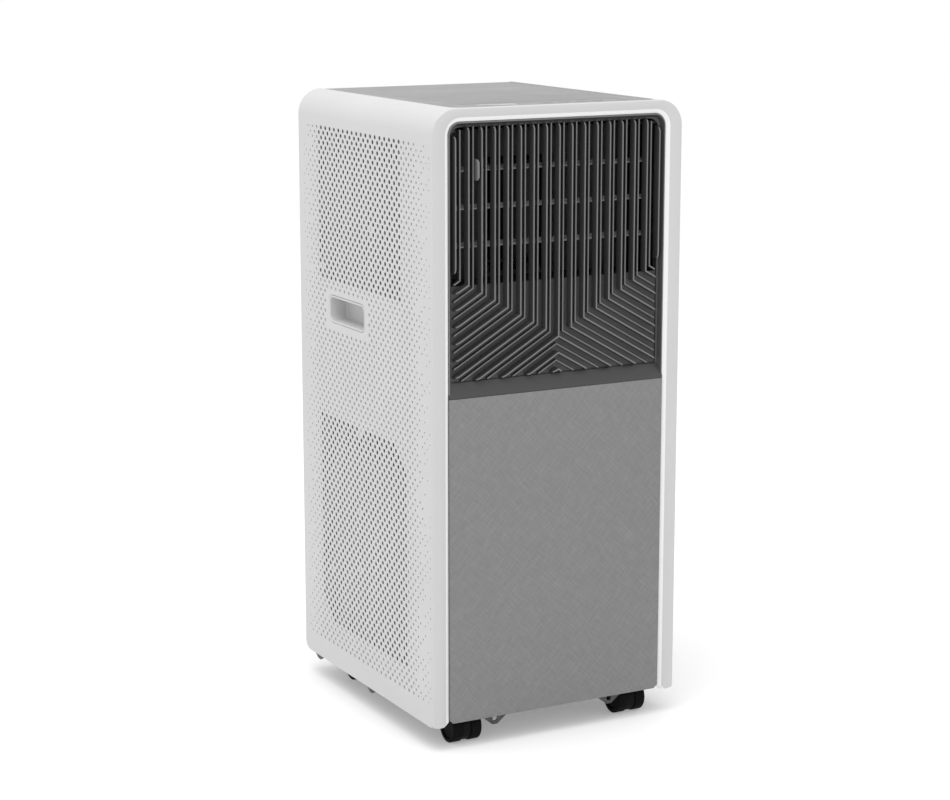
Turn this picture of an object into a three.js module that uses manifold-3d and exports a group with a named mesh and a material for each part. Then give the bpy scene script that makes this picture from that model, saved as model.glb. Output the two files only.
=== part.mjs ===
// Portable air conditioner: a tall wrap-round case on four twin-wheel casters.
// Millimetres, +Z up, front towards -Y, origin on the floor under the middle of the case.

import * as THREE from 'three';
import { mergeVertices } from 'three/addons/utils/BufferGeometryUtils.js';
import Module from 'manifold-3d';

const wasm = await Module();
wasm.setup();

// ---------------------------------------------------------------- driving dimensions

const CASE = { width: 306, depth: 337, height: 668, footGap: 28, wall: 2.6, edge: 28, rearEdge: 12 };
const HALF_W = CASE.width / 2;
const FRONT = -CASE.depth / 2;
const REAR = CASE.depth / 2;
const BOTTOM = CASE.footGap;
const TOP = CASE.footGap + CASE.height;
const GAP = 0.3;

const BEZEL = { depth: 6, leg: 19.7, opening: 654, innerRadius: 14, bevel: 3, toe: 6 };
const OPENING_X = HALF_W - BEZEL.leg;
const OPENING_TOP = BOTTOM + BEZEL.opening;
const PANEL_TOP = BOTTOM + 361.6;
const PANEL_BOTTOM = BOTTOM + 2.3;

const TOP_COVER = { sink: 0.7, thick: 2.5, cornerRadius: 12 };
const CONTROLS = { halfX: 95, y0: FRONT + 16, y1: FRONT + 54, radius: 6 };
const BUTTON = { count: 4, pitch: 21, radius: 5.4, travel: 1, top: TOP - 0.5, length: 5.2 };
const DISPLAY = { x0: -82, x1: -34, halfY: 9 };

const VENT = {
  upper: { y0: -92, y1: 113, z0: 488.7, z1: 656.6, rows: 8 },
  lower: { y0: -106, y1: 117, z0: 82, z1: 328, rows: 11 },
  slot: 12,
  post: 10,
};
const HANDLE = { y: 43.5, z: 453, length: 93.6, height: 31, radius: 9, depth: 24, wall: 2.2 };

const GRILLE = {
  face: FRONT + 6.5, back: FRONT + 11, border: 6, top: OPENING_TOP - GAP, sill: 16.5,
  pitch: 15.62, ribs: 8, width: 2, tall: FRONT + 0.3, low: FRONT + 4.5,
  apex: BOTTOM + 419.4, slope: Math.tan(Math.PI / 6), windowBottom: 509,
};

const DUCT = { halfX: 128, z0: 504.5, z1: 672.5, y0: GRILLE.back + GAP, y1: -100, wall: 2.5 };
const LOUVRE = {
  y: FRONT + 36.5, z: BOTTOM + 560.5, pitch: 40.3, chord: 36, thick: 2.6, halfX: 123.5,
  pin: 2, earX: 110, earLength: 9, leverX: -6.25 * GRILLE.pitch, leverThick: 2.3, leverHeight: 22,
};

const FILTER = { x0: 146.2, x1: 149.9, y0: -94, z0: 485, z1: 660, border: 7, mesh: 0.8 };
const EXHAUST = { z: 352, hole: 69, outer: 68.6, inner: 62, y0: 139, flange: 70 };
const DRAINS = [{ name: 'drain_plug_upper', x: 112, z: 440 }, { name: 'drain_plug_lower', x: -60, z: 56 }];
const DRAIN = { head: 9.3, stem: 5.4, recess: 9.7 };
const CORD_INLET = { x: 112, z: 100, radius: 12, bore: 4.2 };

const SCREW = { head: 3.6, shank: 1.8, length: 12 };
const SCREWS = [[-136, 60], [136, 60]];

const BASE = { z0: 42, floor: 2.5, z1: 72, halfX: 149.8, y0: FRONT + 8.5, y1: REAR - 5.5, wall: 2.5 };
const CASTER = {
  x: 105.5, frontY: -132.5, rearY: 114.5, offset: 8, radius: 17.5, half: 17.5, web: 3.6,
  stem: 4.2, bore: 4.6, hood: 19.2, hoodWall: 1.8, axle: 2.5, stemTop: 64,
  brow: 0.56,
};

const EVAP = { halfX: 143, inner: 121, y0: -85, y1: 122, z0: 470, z1: 656 };
const COND = { halfX: 143, inner: 121, y0: -112, y1: 118, z0: 76, z1: 296 };
const EVAP_FAN = { x: 0, y: 4, z0: 500, z1: 640, r0: 70, r1: 86, wheel: 58, wheelZ0: 514, wheelZ1: 624 };
const COND_FAN = { x: 0, y: -12, z0: 304, z1: 414, r0: 82, r1: 104, wheel: 70, wheelZ0: 318, wheelZ1: 398 };
const COMPRESSOR = { x: 5, y: 50, r: 50, z0: 62, z1: 240 };
const ACCUMULATOR = { x: -76, y: 50, r: 21, z0: 84, z1: 220 };
const TRAY = { z0: 424, floor: 2.5, z1: 434, halfX: 149.8, y0: -152, y1: 160 };
const SUCTION = { x: -92, y: 116, hole: 8 };
const CONTROL_BOX = { halfX: 92, y0: FRONT + 7, y1: FRONT + 42, z0: 312, z1: 386, wall: 2 };
const SPLASH = { x: 88, y: -48, r: 26, z0: 49, z1: 53 };

// ---------------------------------------------------------------- materials

function finish(color, roughness, metalness = 0) {
  return new THREE.MeshStandardMaterial({ color, roughness, metalness });
}

const white = () => finish(0xe4e4e4, 0.45);
const greyTop = () => finish(0xb0b0b0, 0.5);
const panelGrey = () => finish(0x848484, 0.55);
const charcoal = () => finish(0x343434, 0.5);
const black = () => finish(0x0c0c0c, 0.5);
const innerGrey = () => finish(0x8a8d90, 0.6);
const steel = () => finish(0x9a9a9a, 0.35, 1);
const copper = () => finish(0xb4673a, 0.3, 1);
const fins = () => finish(0xb8bcc0, 0.4, 1);

// ---------------------------------------------------------------- solids

function toSolid(geometry) {
  const bare = geometry.clone();
  bare.deleteAttribute('normal');
  bare.deleteAttribute('uv');
  const merged = mergeVertices(bare, 1e-4);
  return new wasm.Manifold(new wasm.Mesh({
    numProp: 3,
    vertProperties: new Float32Array(merged.attributes.position.array),
    triVerts: new Uint32Array(merged.index.array),
  }));
}

function toGeometry(solid) {
  const mesh = solid.getMesh();
  const geometry = new THREE.BufferGeometry();
  geometry.setAttribute('position', new THREE.BufferAttribute(new Float32Array(mesh.vertProperties), 3));
  geometry.setIndex(new THREE.BufferAttribute(new Uint32Array(mesh.triVerts), 1));
  geometry.computeVertexNormals();
  return geometry;
}

function box(x0, x1, y0, y1, z0, z1) {
  const geometry = new THREE.BoxGeometry(x1 - x0, y1 - y0, z1 - z0);
  geometry.translate((x0 + x1) / 2, (y0 + y1) / 2, (z0 + z1) / 2);
  return toSolid(geometry);
}

// A drawing's x and y become the first two axes named, and the extrusion runs along the third.
const AXES = {
  XY: [new THREE.Vector3(1, 0, 0), new THREE.Vector3(0, 1, 0), new THREE.Vector3(0, 0, 1)],
  XZ: [new THREE.Vector3(1, 0, 0), new THREE.Vector3(0, 0, 1), new THREE.Vector3(0, -1, 0)],
  YZ: [new THREE.Vector3(0, 1, 0), new THREE.Vector3(0, 0, 1), new THREE.Vector3(1, 0, 0)],
};

function prism(plane, shape, low, high, arcSteps = 5) {
  const geometry = new THREE.ExtrudeGeometry(shape, {
    depth: high - low,
    bevelEnabled: false,
    curveSegments: arcSteps,
  });
  geometry.translate(0, 0, plane === 'XZ' ? -high : low);
  geometry.applyMatrix4(new THREE.Matrix4().makeBasis(...AXES[plane]));
  return toSolid(geometry);
}

function rod(plane, a, b, radius, low, high, sides = 24) {
  const shape = new THREE.Shape();
  for (let i = 0; i < sides; i++) {
    const angle = (i + 0.5) * 2 * Math.PI / sides;
    const r = radius / Math.cos(Math.PI / sides);
    const point = [a + r * Math.sin(angle), b - r * Math.cos(angle)];
    if (i === 0) shape.moveTo(...point);
    else shape.lineTo(...point);
  }
  shape.closePath();
  return prism(plane, shape, low, high);
}

function outline(points) {
  return new THREE.Shape(points.map(([a, b]) => new THREE.Vector2(a, b)));
}

function roundRect(a0, a1, b0, b1, r) {
  const shape = new THREE.Shape();
  shape.moveTo(a0 + r, b0);
  shape.lineTo(a1 - r, b0);
  shape.absarc(a1 - r, b0 + r, r, -Math.PI / 2, 0, false);
  shape.absarc(a1 - r, b1 - r, r, 0, Math.PI / 2, false);
  shape.absarc(a0 + r, b1 - r, r, Math.PI / 2, Math.PI, false);
  shape.absarc(a0 + r, b0 + r, r, Math.PI, 1.5 * Math.PI, false);
  return shape;
}

// An arch outline: straight feet, two rounded upper corners.
function arch(halfX, z0, z1, r) {
  const shape = new THREE.Shape();
  shape.moveTo(-halfX, z0);
  shape.lineTo(halfX, z0);
  shape.absarc(halfX - r, z1 - r, r, 0, Math.PI / 2, false);
  shape.absarc(-halfX + r, z1 - r, r, Math.PI / 2, Math.PI, false);
  return shape;
}

function join(solids) {
  return solids.reduce((sum, solid) => sum.add(solid));
}

function cut(solid, tools) {
  return tools.reduce((rest, tool) => rest.subtract(tool), solid);
}

function tube(points, radius, sides = 8) {
  const section = new THREE.Shape();
  for (let i = 0; i < sides; i++) {
    const angle = i * 2 * Math.PI / sides;
    const point = [radius * Math.cos(angle), radius * Math.sin(angle)];
    if (i === 0) section.moveTo(...point);
    else section.lineTo(...point);
  }
  section.closePath();
  const path = new THREE.CurvePath();
  const corners = points.map((p) => new THREE.Vector3(...p));
  const bend = 14;
  let from = corners[0];
  for (let i = 1; i < corners.length - 1; i++) {
    const before = corners[i].clone().lerp(corners[i - 1], bend / corners[i].distanceTo(corners[i - 1]));
    const after = corners[i].clone().lerp(corners[i + 1], bend / corners[i].distanceTo(corners[i + 1]));
    path.add(new THREE.LineCurve3(from, before));
    path.add(new THREE.QuadraticBezierCurve3(before, corners[i], after));
    from = after;
  }
  path.add(new THREE.LineCurve3(from, corners[corners.length - 1]));
  const steps = Math.round(path.getLength() / 12);
  return toSolid(new THREE.ExtrudeGeometry(section, { steps, extrudePath: path, bevelEnabled: false }));
}

const airConditioner = new THREE.Group();

// Adds a mesh whose own zero is at `at`, given the solid in the machine's frame.
function add(name, solid, material, at = [0, 0, 0], parent = airConditioner) {
  const geometry = toGeometry(solid);
  geometry.translate(-at[0], -at[1], -at[2]);
  const mesh = new THREE.Mesh(geometry, material);
  mesh.name = name;
  mesh.position.set(...at);
  parent.add(mesh);
  return mesh;
}

// ---------------------------------------------------------------- case

function sidePanel(side) {
  const t = CASE.wall;
  const arcX = HALF_W - CASE.edge;
  const arcZ = TOP - CASE.edge;
  const shape = new THREE.Shape();
  shape.moveTo(HALF_W, BOTTOM);
  shape.absarc(arcX, arcZ, CASE.edge, 0, Math.PI / 2, false);
  shape.absarc(arcX, arcZ, CASE.edge - t, Math.PI / 2, 0, true);
  shape.lineTo(HALF_W - t, BOTTOM);
  const seam = FRONT + BEZEL.depth + GAP;
  let panel = prism('XZ', shape, seam, REAR, 6);

  const r = TOP_COVER.cornerRadius;
  const corner = new THREE.Shape();
  corner.moveTo(arcX + 0.5, seam);
  corner.lineTo(arcX + 0.5, seam + r);
  corner.lineTo(arcX, seam + r);
  corner.absarc(arcX - r, seam + r, r, 0, -Math.PI / 2, true);
  panel = panel.add(prism('XY', corner, TOP - t, TOP));

  const heel = new THREE.Shape();
  heel.moveTo(REAR + 1, BOTTOM - 1);
  heel.lineTo(REAR + 1, BOTTOM + CASE.rearEdge);
  heel.lineTo(REAR, BOTTOM + CASE.rearEdge);
  heel.absarc(REAR - CASE.rearEdge, BOTTOM + CASE.rearEdge, CASE.rearEdge, 0, -Math.PI / 2, true);
  heel.lineTo(REAR - CASE.rearEdge, BOTTOM - 1);
  const cuts = [prism('YZ', heel, HALF_W - 10, HALF_W + 1)];

  const hole = roundRect(
    HANDLE.y - HANDLE.length / 2 - GAP, HANDLE.y + HANDLE.length / 2 + GAP,
    HANDLE.z - HANDLE.height / 2 - GAP, HANDLE.z + HANDLE.height / 2 + GAP, HANDLE.radius + GAP,
  );
  cuts.push(prism('YZ', hole, HALF_W - 10, HALF_W + 1));

  for (const zone of [VENT.upper, VENT.lower]) {
    const pitch = (zone.z1 - zone.z0 - VENT.slot) / (zone.rows - 1);
    const middle = (zone.y0 + zone.y1) / 2;
    for (let row = 0; row < zone.rows; row++) {
      const z = zone.z0 + row * pitch;
      cuts.push(box(HALF_W - 10, HALF_W + 1, zone.y0, middle - VENT.post / 2, z, z + VENT.slot));
      cuts.push(box(HALF_W - 10, HALF_W + 1, middle + VENT.post / 2, zone.y1, z, z + VENT.slot));
    }
  }
  panel = cut(panel, cuts);
  return side > 0 ? panel : panel.mirror([1, 0, 0]);
}

function handleCup(side) {
  const y0 = HANDLE.y - HANDLE.length / 2;
  const y1 = HANDLE.y + HANDLE.length / 2;
  const z0 = HANDLE.z - HANDLE.height / 2;
  const z1 = HANDLE.z + HANDLE.height / 2;
  const w = HANDLE.wall;
  const outside = prism('YZ', roundRect(y0, y1, z0, z1, HANDLE.radius), HALF_W - HANDLE.depth, HALF_W - 0.1);
  const inside = roundRect(y0 + w, y1 - w, z0 + w, z1 - w, HANDLE.radius - w);
  const cup = outside.subtract(prism('YZ', inside, HALF_W - HANDLE.depth + w, HALF_W + 1));
  return side > 0 ? cup : cup.mirror([1, 0, 0]);
}

function frontBezel() {
  const r = BEZEL.innerRadius;
  const shape = new THREE.Shape();
  shape.moveTo(-HALF_W, BOTTOM);
  shape.lineTo(-OPENING_X - BEZEL.toe, BOTTOM);
  shape.lineTo(-OPENING_X, BOTTOM + BEZEL.toe);
  shape.absarc(-OPENING_X + r, OPENING_TOP - r, r, Math.PI, Math.PI / 2, true);
  shape.absarc(OPENING_X - r, OPENING_TOP - r, r, Math.PI / 2, 0, true);
  shape.lineTo(OPENING_X, BOTTOM + BEZEL.toe);
  shape.lineTo(OPENING_X + BEZEL.toe, BOTTOM);
  shape.lineTo(HALF_W, BOTTOM);
  shape.absarc(HALF_W - CASE.edge, TOP - CASE.edge, CASE.edge, 0, Math.PI / 2, false);
  shape.absarc(-HALF_W + CASE.edge, TOP - CASE.edge, CASE.edge, Math.PI / 2, Math.PI, false);
  const geometry = new THREE.ExtrudeGeometry(shape, {
    depth: 2 * BEZEL.depth,
    curveSegments: 6,
    bevelThickness: BEZEL.bevel,
    bevelSize: BEZEL.bevel,
    bevelOffset: -BEZEL.bevel,
    bevelSegments: 2,
  });
  geometry.translate(0, 0, -FRONT - BEZEL.bevel - 2 * BEZEL.depth);
  geometry.applyMatrix4(new THREE.Matrix4().makeBasis(...AXES.XZ));
  const whole = toSolid(geometry);
  return whole.intersect(box(-HALF_W - 1, HALF_W + 1, FRONT - 1, FRONT + BEZEL.depth, 0, TOP + 1));
}

function topCover() {
  const x = HALF_W - CASE.edge - GAP;
  const y0 = FRONT + BEZEL.depth + GAP;
  const r = TOP_COVER.cornerRadius;
  const shape = new THREE.Shape();
  shape.moveTo(x, REAR - GAP);
  shape.lineTo(-x, REAR - GAP);
  shape.absarc(-x + r, y0 + r, r, Math.PI, 1.5 * Math.PI, false);
  shape.absarc(x - r, y0 + r, r, 1.5 * Math.PI, 2 * Math.PI, false);
  const high = TOP - TOP_COVER.sink;
  const low = high - TOP_COVER.thick;
  const window = roundRect(-CONTROLS.halfX, CONTROLS.halfX, CONTROLS.y0, CONTROLS.y1, CONTROLS.radius);
  return prism('XY', shape, low, high).subtract(prism('XY', window, low - 1, high + 1));
}

const BUTTON_Y = (CONTROLS.y0 + CONTROLS.y1) / 2;
const buttonX = (i) => (i - 1.5) * BUTTON.pitch + 35;

function controlPanel() {
  const high = TOP - TOP_COVER.sink - 0.2;
  const low = high - 2;
  const plate = prism('XY', roundRect(
    -CONTROLS.halfX + GAP, CONTROLS.halfX - GAP, CONTROLS.y0 + GAP, CONTROLS.y1 - GAP, CONTROLS.radius,
  ), low, high);
  const cuts = [box(DISPLAY.x0, DISPLAY.x1, BUTTON_Y - DISPLAY.halfY, BUTTON_Y + DISPLAY.halfY, low - 1, high + 1)];
  for (let i = 0; i < BUTTON.count; i++) {
    cuts.push(rod('XY', buttonX(i), BUTTON_Y, BUTTON.radius + GAP, low - 1, high + 1, 12));
  }
  return cut(plate, cuts);
}

function displayWindow() {
  const high = TOP - TOP_COVER.sink - 0.2;
  return box(
    DISPLAY.x0 + GAP, DISPLAY.x1 - GAP,
    BUTTON_Y - DISPLAY.halfY + GAP, BUTTON_Y + DISPLAY.halfY - GAP, high - 4, high,
  );
}

function controlBoard() {
  const z = TOP - 12;
  return box(-CONTROLS.halfX + 6, CONTROLS.halfX - 6, CONTROLS.y0 + 3, CONTROLS.y1 - 3, z, z + 1.6);
}

function lowerPanel() {
  const x = OPENING_X - 0.4;
  const z0 = PANEL_BOTTOM;
  const z1 = PANEL_TOP - 0.1;
  const toe = BEZEL.toe - 1.5;
  const face = FRONT + 0.5;
  const sheet = prism('XZ', outline([
    [-x + toe, z0], [x - toe, z0], [x, z0 + toe], [x, z1], [-x, z1], [-x, z0 + toe],
  ]), face, face + CASE.wall);
  const ribs = [-80, 0, 80].map((at) => box(at - 1, at + 1, face + 1, face + 6, z0 + 20, z1 - 90));
  return join([sheet, ...ribs]);
}

function rearCover() {
  const y1 = REAR - 0.2;
  const y0 = y1 - CASE.wall;
  const x = HALF_W - CASE.wall - GAP;
  const r = CASE.edge - CASE.wall - GAP;
  let plate = prism('XZ', arch(x, BOTTOM + GAP, TOP - CASE.wall - GAP, r), y0, y1, 6);
  const roof = TOP - TOP_COVER.sink - TOP_COVER.thick - GAP;
  plate = plate.intersect(box(-HALF_W, HALF_W, y0 - 1, y1 + 1, 0, roof));
  const cuts = [rod('XZ', 0, EXHAUST.z, EXHAUST.hole, y0 - 1, y1 + 1, 32)];
  for (const side of [-1, 1]) {
    const inner = side * (FILTER.x0 - 2 * GAP);
    const outer = side * (HALF_W + 1);
    cuts.push(box(
      Math.min(inner, outer), Math.max(inner, outer), y0 - 1, y1 + 1, FILTER.z0 - GAP, FILTER.z1 + GAP,
    ));
  }
  for (const drain of DRAINS) {
    cuts.push(rod('XZ', drain.x, drain.z, DRAIN.recess, y0 - 1, y1 + 1, 16));
  }
  cuts.push(rod('XZ', CORD_INLET.x, CORD_INLET.z, CORD_INLET.radius + GAP, y0 - 1, y1 + 1, 16));
  for (let row = 0; row < 6; row++) {
    const z = 150 + row * 14;
    cuts.push(box(-95, -2.5, y0 - 1, y1 + 1, z, z + 5));
    cuts.push(box(2.5, 95, y0 - 1, y1 + 1, z, z + 5));
  }
  for (const [sx, z] of SCREWS) {
    cuts.push(rod('XZ', sx, z, SCREW.head + GAP, y0 + 1.2, y1 + 1, 12));
    cuts.push(rod('XZ', sx, z, SCREW.shank + GAP, y0 - 1, y1 + 1, 12));
  }
  return cut(plate, cuts);
}

function screw(x, z) {
  const y1 = REAR - 0.2;
  const seat = y1 - CASE.wall + 1.2 + GAP;
  return join([
    rod('XZ', x, z, SCREW.head, seat, y1 - 0.1, 12),
    rod('XZ', x, z, SCREW.shank, y1 - SCREW.length, seat + 0.1, 12),
  ]);
}

function filterFrame(side) {
  const tail = REAR - 0.3;
  const { x0, x1, y0, z0, z1, border, mesh } = FILTER;
  let frame = box(x0, x1, y0, tail, z0, z1);
  frame = frame.add(box(x0 - GAP, x1, REAR - 6, tail, z0, z1));
  const yEnd = tail - 14;
  const columns = 2;
  const rows = 2;
  const stepY = (yEnd - y0 - border) / columns;
  const stepZ = (z1 - z0 - border) / rows;
  const pockets = [];
  for (let i = 0; i < columns; i++) {
    for (let j = 0; j < rows; j++) {
      const y = y0 + border + i * stepY;
      const z = z0 + border + j * stepZ;
      pockets.push(box(x0 + mesh, x1 + 1, y, y + stepY - border, z, z + stepZ - border));
    }
  }
  const whole = cut(frame, pockets);
  return side > 0 ? whole : whole.mirror([1, 0, 0]);
}

function exhaustCollar() {
  const y1 = REAR - 0.3;
  const ring = rod('XZ', 0, EXHAUST.z, EXHAUST.outer, EXHAUST.y0, y1, 32);
  const flange = box(
    -EXHAUST.flange, EXHAUST.flange, EXHAUST.y0, EXHAUST.y0 + 2.5,
    EXHAUST.z - EXHAUST.flange, EXHAUST.z + EXHAUST.flange,
  );
  return ring.add(flange).subtract(rod('XZ', 0, EXHAUST.z, EXHAUST.inner, EXHAUST.y0 - 1, y1 + 1, 32));
}

function drainPlug(drain) {
  const y1 = REAR - 0.3;
  const head = rod('XZ', drain.x, drain.z, DRAIN.head, y1 - 3, y1, 16);
  const stem = rod('XZ', drain.x, drain.z, DRAIN.stem, y1 - 14, y1 - 2, 16);
  const grip = box(drain.x - 8, drain.x + 8, y1 - 2, y1, drain.z - 1.5, drain.z + 1.5);
  const dish = rod('XZ', drain.x, drain.z, DRAIN.head - 1.4, y1 - 1.4, y1 + 1, 16);
  return join([cut(head, [dish]), stem, grip]);
}

function cordInlet() {
  const { x, z, radius, bore } = CORD_INLET;
  const y1 = REAR - 0.3;
  const solids = [
    rod('XZ', x, z, radius, y1 - 4, y1, 16),
    rod('XZ', x, z, radius - 4, y1 - 22, y1 - 3, 16),
  ];
  return join(solids).subtract(rod('XZ', x, z, bore, y1 - 30, y1 + 1, 16));
}

// ---------------------------------------------------------------- front grille

// A band of even width that follows a polyline in the front plane.
function rib(points, y0, y1) {
  const half = GRILLE.width / 2;
  const left = [];
  const right = [];
  points.forEach(([x, z], i) => {
    const before = points[Math.max(i - 1, 0)];
    const after = points[Math.min(i + 1, points.length - 1)];
    const one = new THREE.Vector2(x - before[0], z - before[1]);
    const two = new THREE.Vector2(after[0] - x, after[1] - z);
    if (i === 0) one.copy(two);
    if (i === points.length - 1) two.copy(one);
    one.normalize();
    two.normalize();
    const mitre = new THREE.Vector2(-(one.y + two.y), one.x + two.x).normalize();
    const reach = half / mitre.dot(new THREE.Vector2(-one.y, one.x));
    left.push([x + mitre.x * reach, z + mitre.y * reach]);
    right.unshift([x - mitre.x * reach, z - mitre.y * reach]);
  });
  return prism('XZ', outline([...left, ...right]), y0, y1);
}

function frontGrille() {
  const x = OPENING_X - 0.4;
  const r = BEZEL.innerRadius - 0.4;
  const { face, back, border, top, sill, slope, apex, pitch } = GRILLE;
  const z0 = PANEL_TOP + 0.2;
  const inner = arch(x - border, z0 + sill, top - border, r - border / 2);
  const window = prism('XZ', inner, FRONT - 5, back + 5);
  const ring = prism('XZ', arch(x, z0, top, r), face, back).subtract(window);
  const upper = window.intersect(box(-x, x, FRONT - 5, back + 5, GRILLE.windowBottom, top));
  const sheet = prism('XZ', arch(x, z0, top, r), back - 2, back).subtract(upper);
  const sillWedge = prism('YZ', outline([
    [back, z0], [FRONT + 1, z0], [FRONT + 1, z0 + 2], [face, z0 + sill], [back, z0 + sill],
  ]), -x, x);

  const reach = x - border + 1;
  const ribs = [];
  for (let half = 0; half <= 2 * GRILLE.ribs; half++) {
    const tall = half % 2 === 0;
    const y0 = tall ? GRILLE.tall : GRILLE.low;
    const at = half * pitch / 2;
    const bend = apex + at * slope;
    for (const side of at === 0 ? [1] : [-1, 1]) {
      ribs.push(rib([[side * at, top - 3], [side * at, bend], [side * reach, bend - (reach - at) * slope]],
        y0, back - 1));
    }
  }
  for (let half = 0; half < 5; half++) {
    const tip = apex - half * pitch / 2 / Math.cos(Math.PI / 6);
    const y0 = half % 2 === 0 ? GRILLE.tall : GRILLE.low;
    ribs.push(rib([[-reach, tip - reach * slope], [0, tip], [reach, tip - reach * slope]], y0, back - 1));
  }
  const field = prism('XZ', arch(reach, z0 + sill - 0.5, top - border + 1, r - border / 2), FRONT, back);
  return join([ring, sheet, sillWedge, join(ribs).intersect(field)]);
}

// ---------------------------------------------------------------- air outlet

function outletDuct() {
  const { halfX, z0, z1, y0, y1, wall } = DUCT;
  const shell = box(-halfX, halfX, y0, y1, z0, z1)
    .subtract(box(-halfX + wall, halfX - wall, y0 - 1, y1 - wall, z0 + wall, z1 - wall))
    .subtract(box(-58, 58, y1 - 10, y1 + 1, z0 + wall, EVAP_FAN.z1 - 3));
  const bores = louvreHeights().map((z) => rod('YZ', LOUVRE.y, z, LOUVRE.pin + GAP, -halfX - 1, halfX + 1, 12));
  return cut(shell, bores);
}

function louvreHeights() {
  return [1, 0, -1].map((step) => LOUVRE.z + step * LOUVRE.pitch);
}

function louvreBlade(z) {
  const { y, chord, thick, halfX, pin, earX, earLength } = LOUVRE;
  const c = chord / 2;
  const t = thick / 2;
  const section = outline([
    [y - c, z - 0.4], [y - c + 4, z - t], [y + c - 6, z - t], [y + c, z - 0.4],
    [y + c, z + 0.4], [y + c - 6, z + t], [y - c + 4, z + t], [y - c, z + 0.4],
  ]);
  const tail = y + c + earLength;
  return join([
    prism('YZ', section, -halfX, halfX),
    rod('YZ', y, z, pin, -DUCT.halfX + 0.5, DUCT.halfX - 0.5, 12),
    box(earX, earX + 2.5, y + c - 4, tail, z - 2.5, z + 2.5),
    rod('YZ', tail - 3, z, 1.5, earX + 1, earX + 6, 12),
  ]);
}

const LINK_Y = LOUVRE.y + LOUVRE.chord / 2 + LOUVRE.earLength - 3;

function louvreLink() {
  const heights = louvreHeights();
  const bar = box(LOUVRE.earX + 3, LOUVRE.earX + 5.2, LINK_Y - 3, LINK_Y + 3,
    heights[2] - 4, heights[0] + 4);
  return cut(bar, heights.map((z) => rod('YZ', LINK_Y, z, 1.8, LOUVRE.earX, LOUVRE.earX + 10, 12)));
}

function louvreLever() {
  const { leverX, leverThick, leverHeight, y, chord, thick } = LOUVRE;
  const z = louvreHeights()[0];
  const half = leverHeight / 2;
  const tip = FRONT + 0.6;
  const nose = y - chord / 2;
  const plate = outline([
    [tip + 3, z - half + 2], [nose - 3, z - half + 2], [nose + 12, z - 4],
    [nose + 12, z + 4], [nose - 3, z + half + 2], [tip + 3, z + half + 2],
    [tip, z + half - 1], [tip, z - half + 5],
  ]);
  const slot = box(leverX - 5, leverX + 5, nose - GAP, nose + 20, z - thick / 2 - GAP, z + thick / 2 + GAP);
  return prism('YZ', plate, leverX - leverThick / 2, leverX + leverThick / 2).subtract(slot);
}

// ---------------------------------------------------------------- fans and coils

// A fan's scroll casing with a mouth towards -Y (turn = -1) or +Y (turn = 1).
function scrollHousing(fan, turn, mouthY, inlet) {
  const wall = 2.2;
  const mouth = (grow) => {
    const low = Math.min(fan.y, mouthY);
    const high = Math.max(fan.y, mouthY);
    return box(-54 - grow, 54 + grow, low, high, fan.z0 + wall - grow, fan.z1 - wall + grow);
  };
  const spiral = (grow) => {
    const points = [];
    const steps = 16;
    for (let i = 0; i < steps; i++) {
      const share = i / steps;
      const angle = share * 2 * Math.PI;
      const r = fan.r0 + grow + (fan.r1 - fan.r0) * share;
      points.push([fan.x + r * Math.cos(angle), fan.y + turn * r * Math.sin(angle)]);
    }
    return prism('XY', outline(points), fan.z0 + wall - grow, fan.z1 - wall + grow);
  };
  const outside = spiral(wall).add(mouth(wall));
  const overrun = turn > 0
    ? box(-54, 54, mouthY - 1, mouthY + 5, fan.z0 + wall, fan.z1 - wall)
    : box(-54, 54, mouthY - 5, mouthY + 1, fan.z0 + wall, fan.z1 - wall);
  return cut(outside, [
    spiral(0).add(mouth(0)), overrun,
    rod('XY', fan.x, fan.y, inlet, fan.z0 - 5, fan.z1 + 5, 24),
  ]);
}

function blowerWheel(fan, bladeCount) {
  const { x, y, wheel, wheelZ0, wheelZ1 } = fan;
  const rim = 2.4;
  const disc = rod('XY', x, y, wheel, wheelZ0, wheelZ0 + rim, 24);
  const hub = rod('XY', x, y, 12, wheelZ0, wheelZ0 + 26, 12);
  const ring = rod('XY', x, y, wheel, wheelZ1 - rim, wheelZ1, 24)
    .subtract(rod('XY', x, y, wheel - 13, wheelZ1 - 10, wheelZ1 + 1, 24));
  const blades = [];
  for (let i = 0; i < bladeCount; i++) {
    const angle = i * 2 * Math.PI / bladeCount;
    const geometry = new THREE.BoxGeometry(12, 1.4, wheelZ1 - wheelZ0 - rim);
    geometry.rotateZ(0.6);
    geometry.translate(wheel - 7.5, 0, 0);
    geometry.rotateZ(angle);
    geometry.translate(x, y, (wheelZ0 + wheelZ1) / 2);
    blades.push(toSolid(geometry));
  }
  const bore = rod('XY', x, y, 4.4, wheelZ0 - 5, wheelZ0 + 40, 12);
  return join([disc, hub, ring, ...blades]).subtract(bore);
}

function fanMotor(fan, z0, radius) {
  return join([
    rod('XY', fan.x, fan.y, radius, z0, fan.z0 - 3, 20),
    rod('XY', fan.x, fan.y, 4, z0, fan.wheelZ0 + 22, 12),
    rod('XY', fan.x, fan.y, 10, z0, fan.z0 + 4, 12),
  ]);
}

function coilU(coil, openFront) {
  const inner = openFront
    ? box(-coil.inner, coil.inner, coil.y0 - 1, coil.y1 - 22, coil.z0 - 1, coil.z1 + 1)
    : box(-coil.inner, coil.inner, coil.y0 + 22, coil.y1 + 1, coil.z0 - 1, coil.z1 + 1);
  return box(-coil.halfX, coil.halfX, coil.y0, coil.y1, coil.z0, coil.z1).subtract(inner);
}

// ---------------------------------------------------------------- refrigerant circuit

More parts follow.
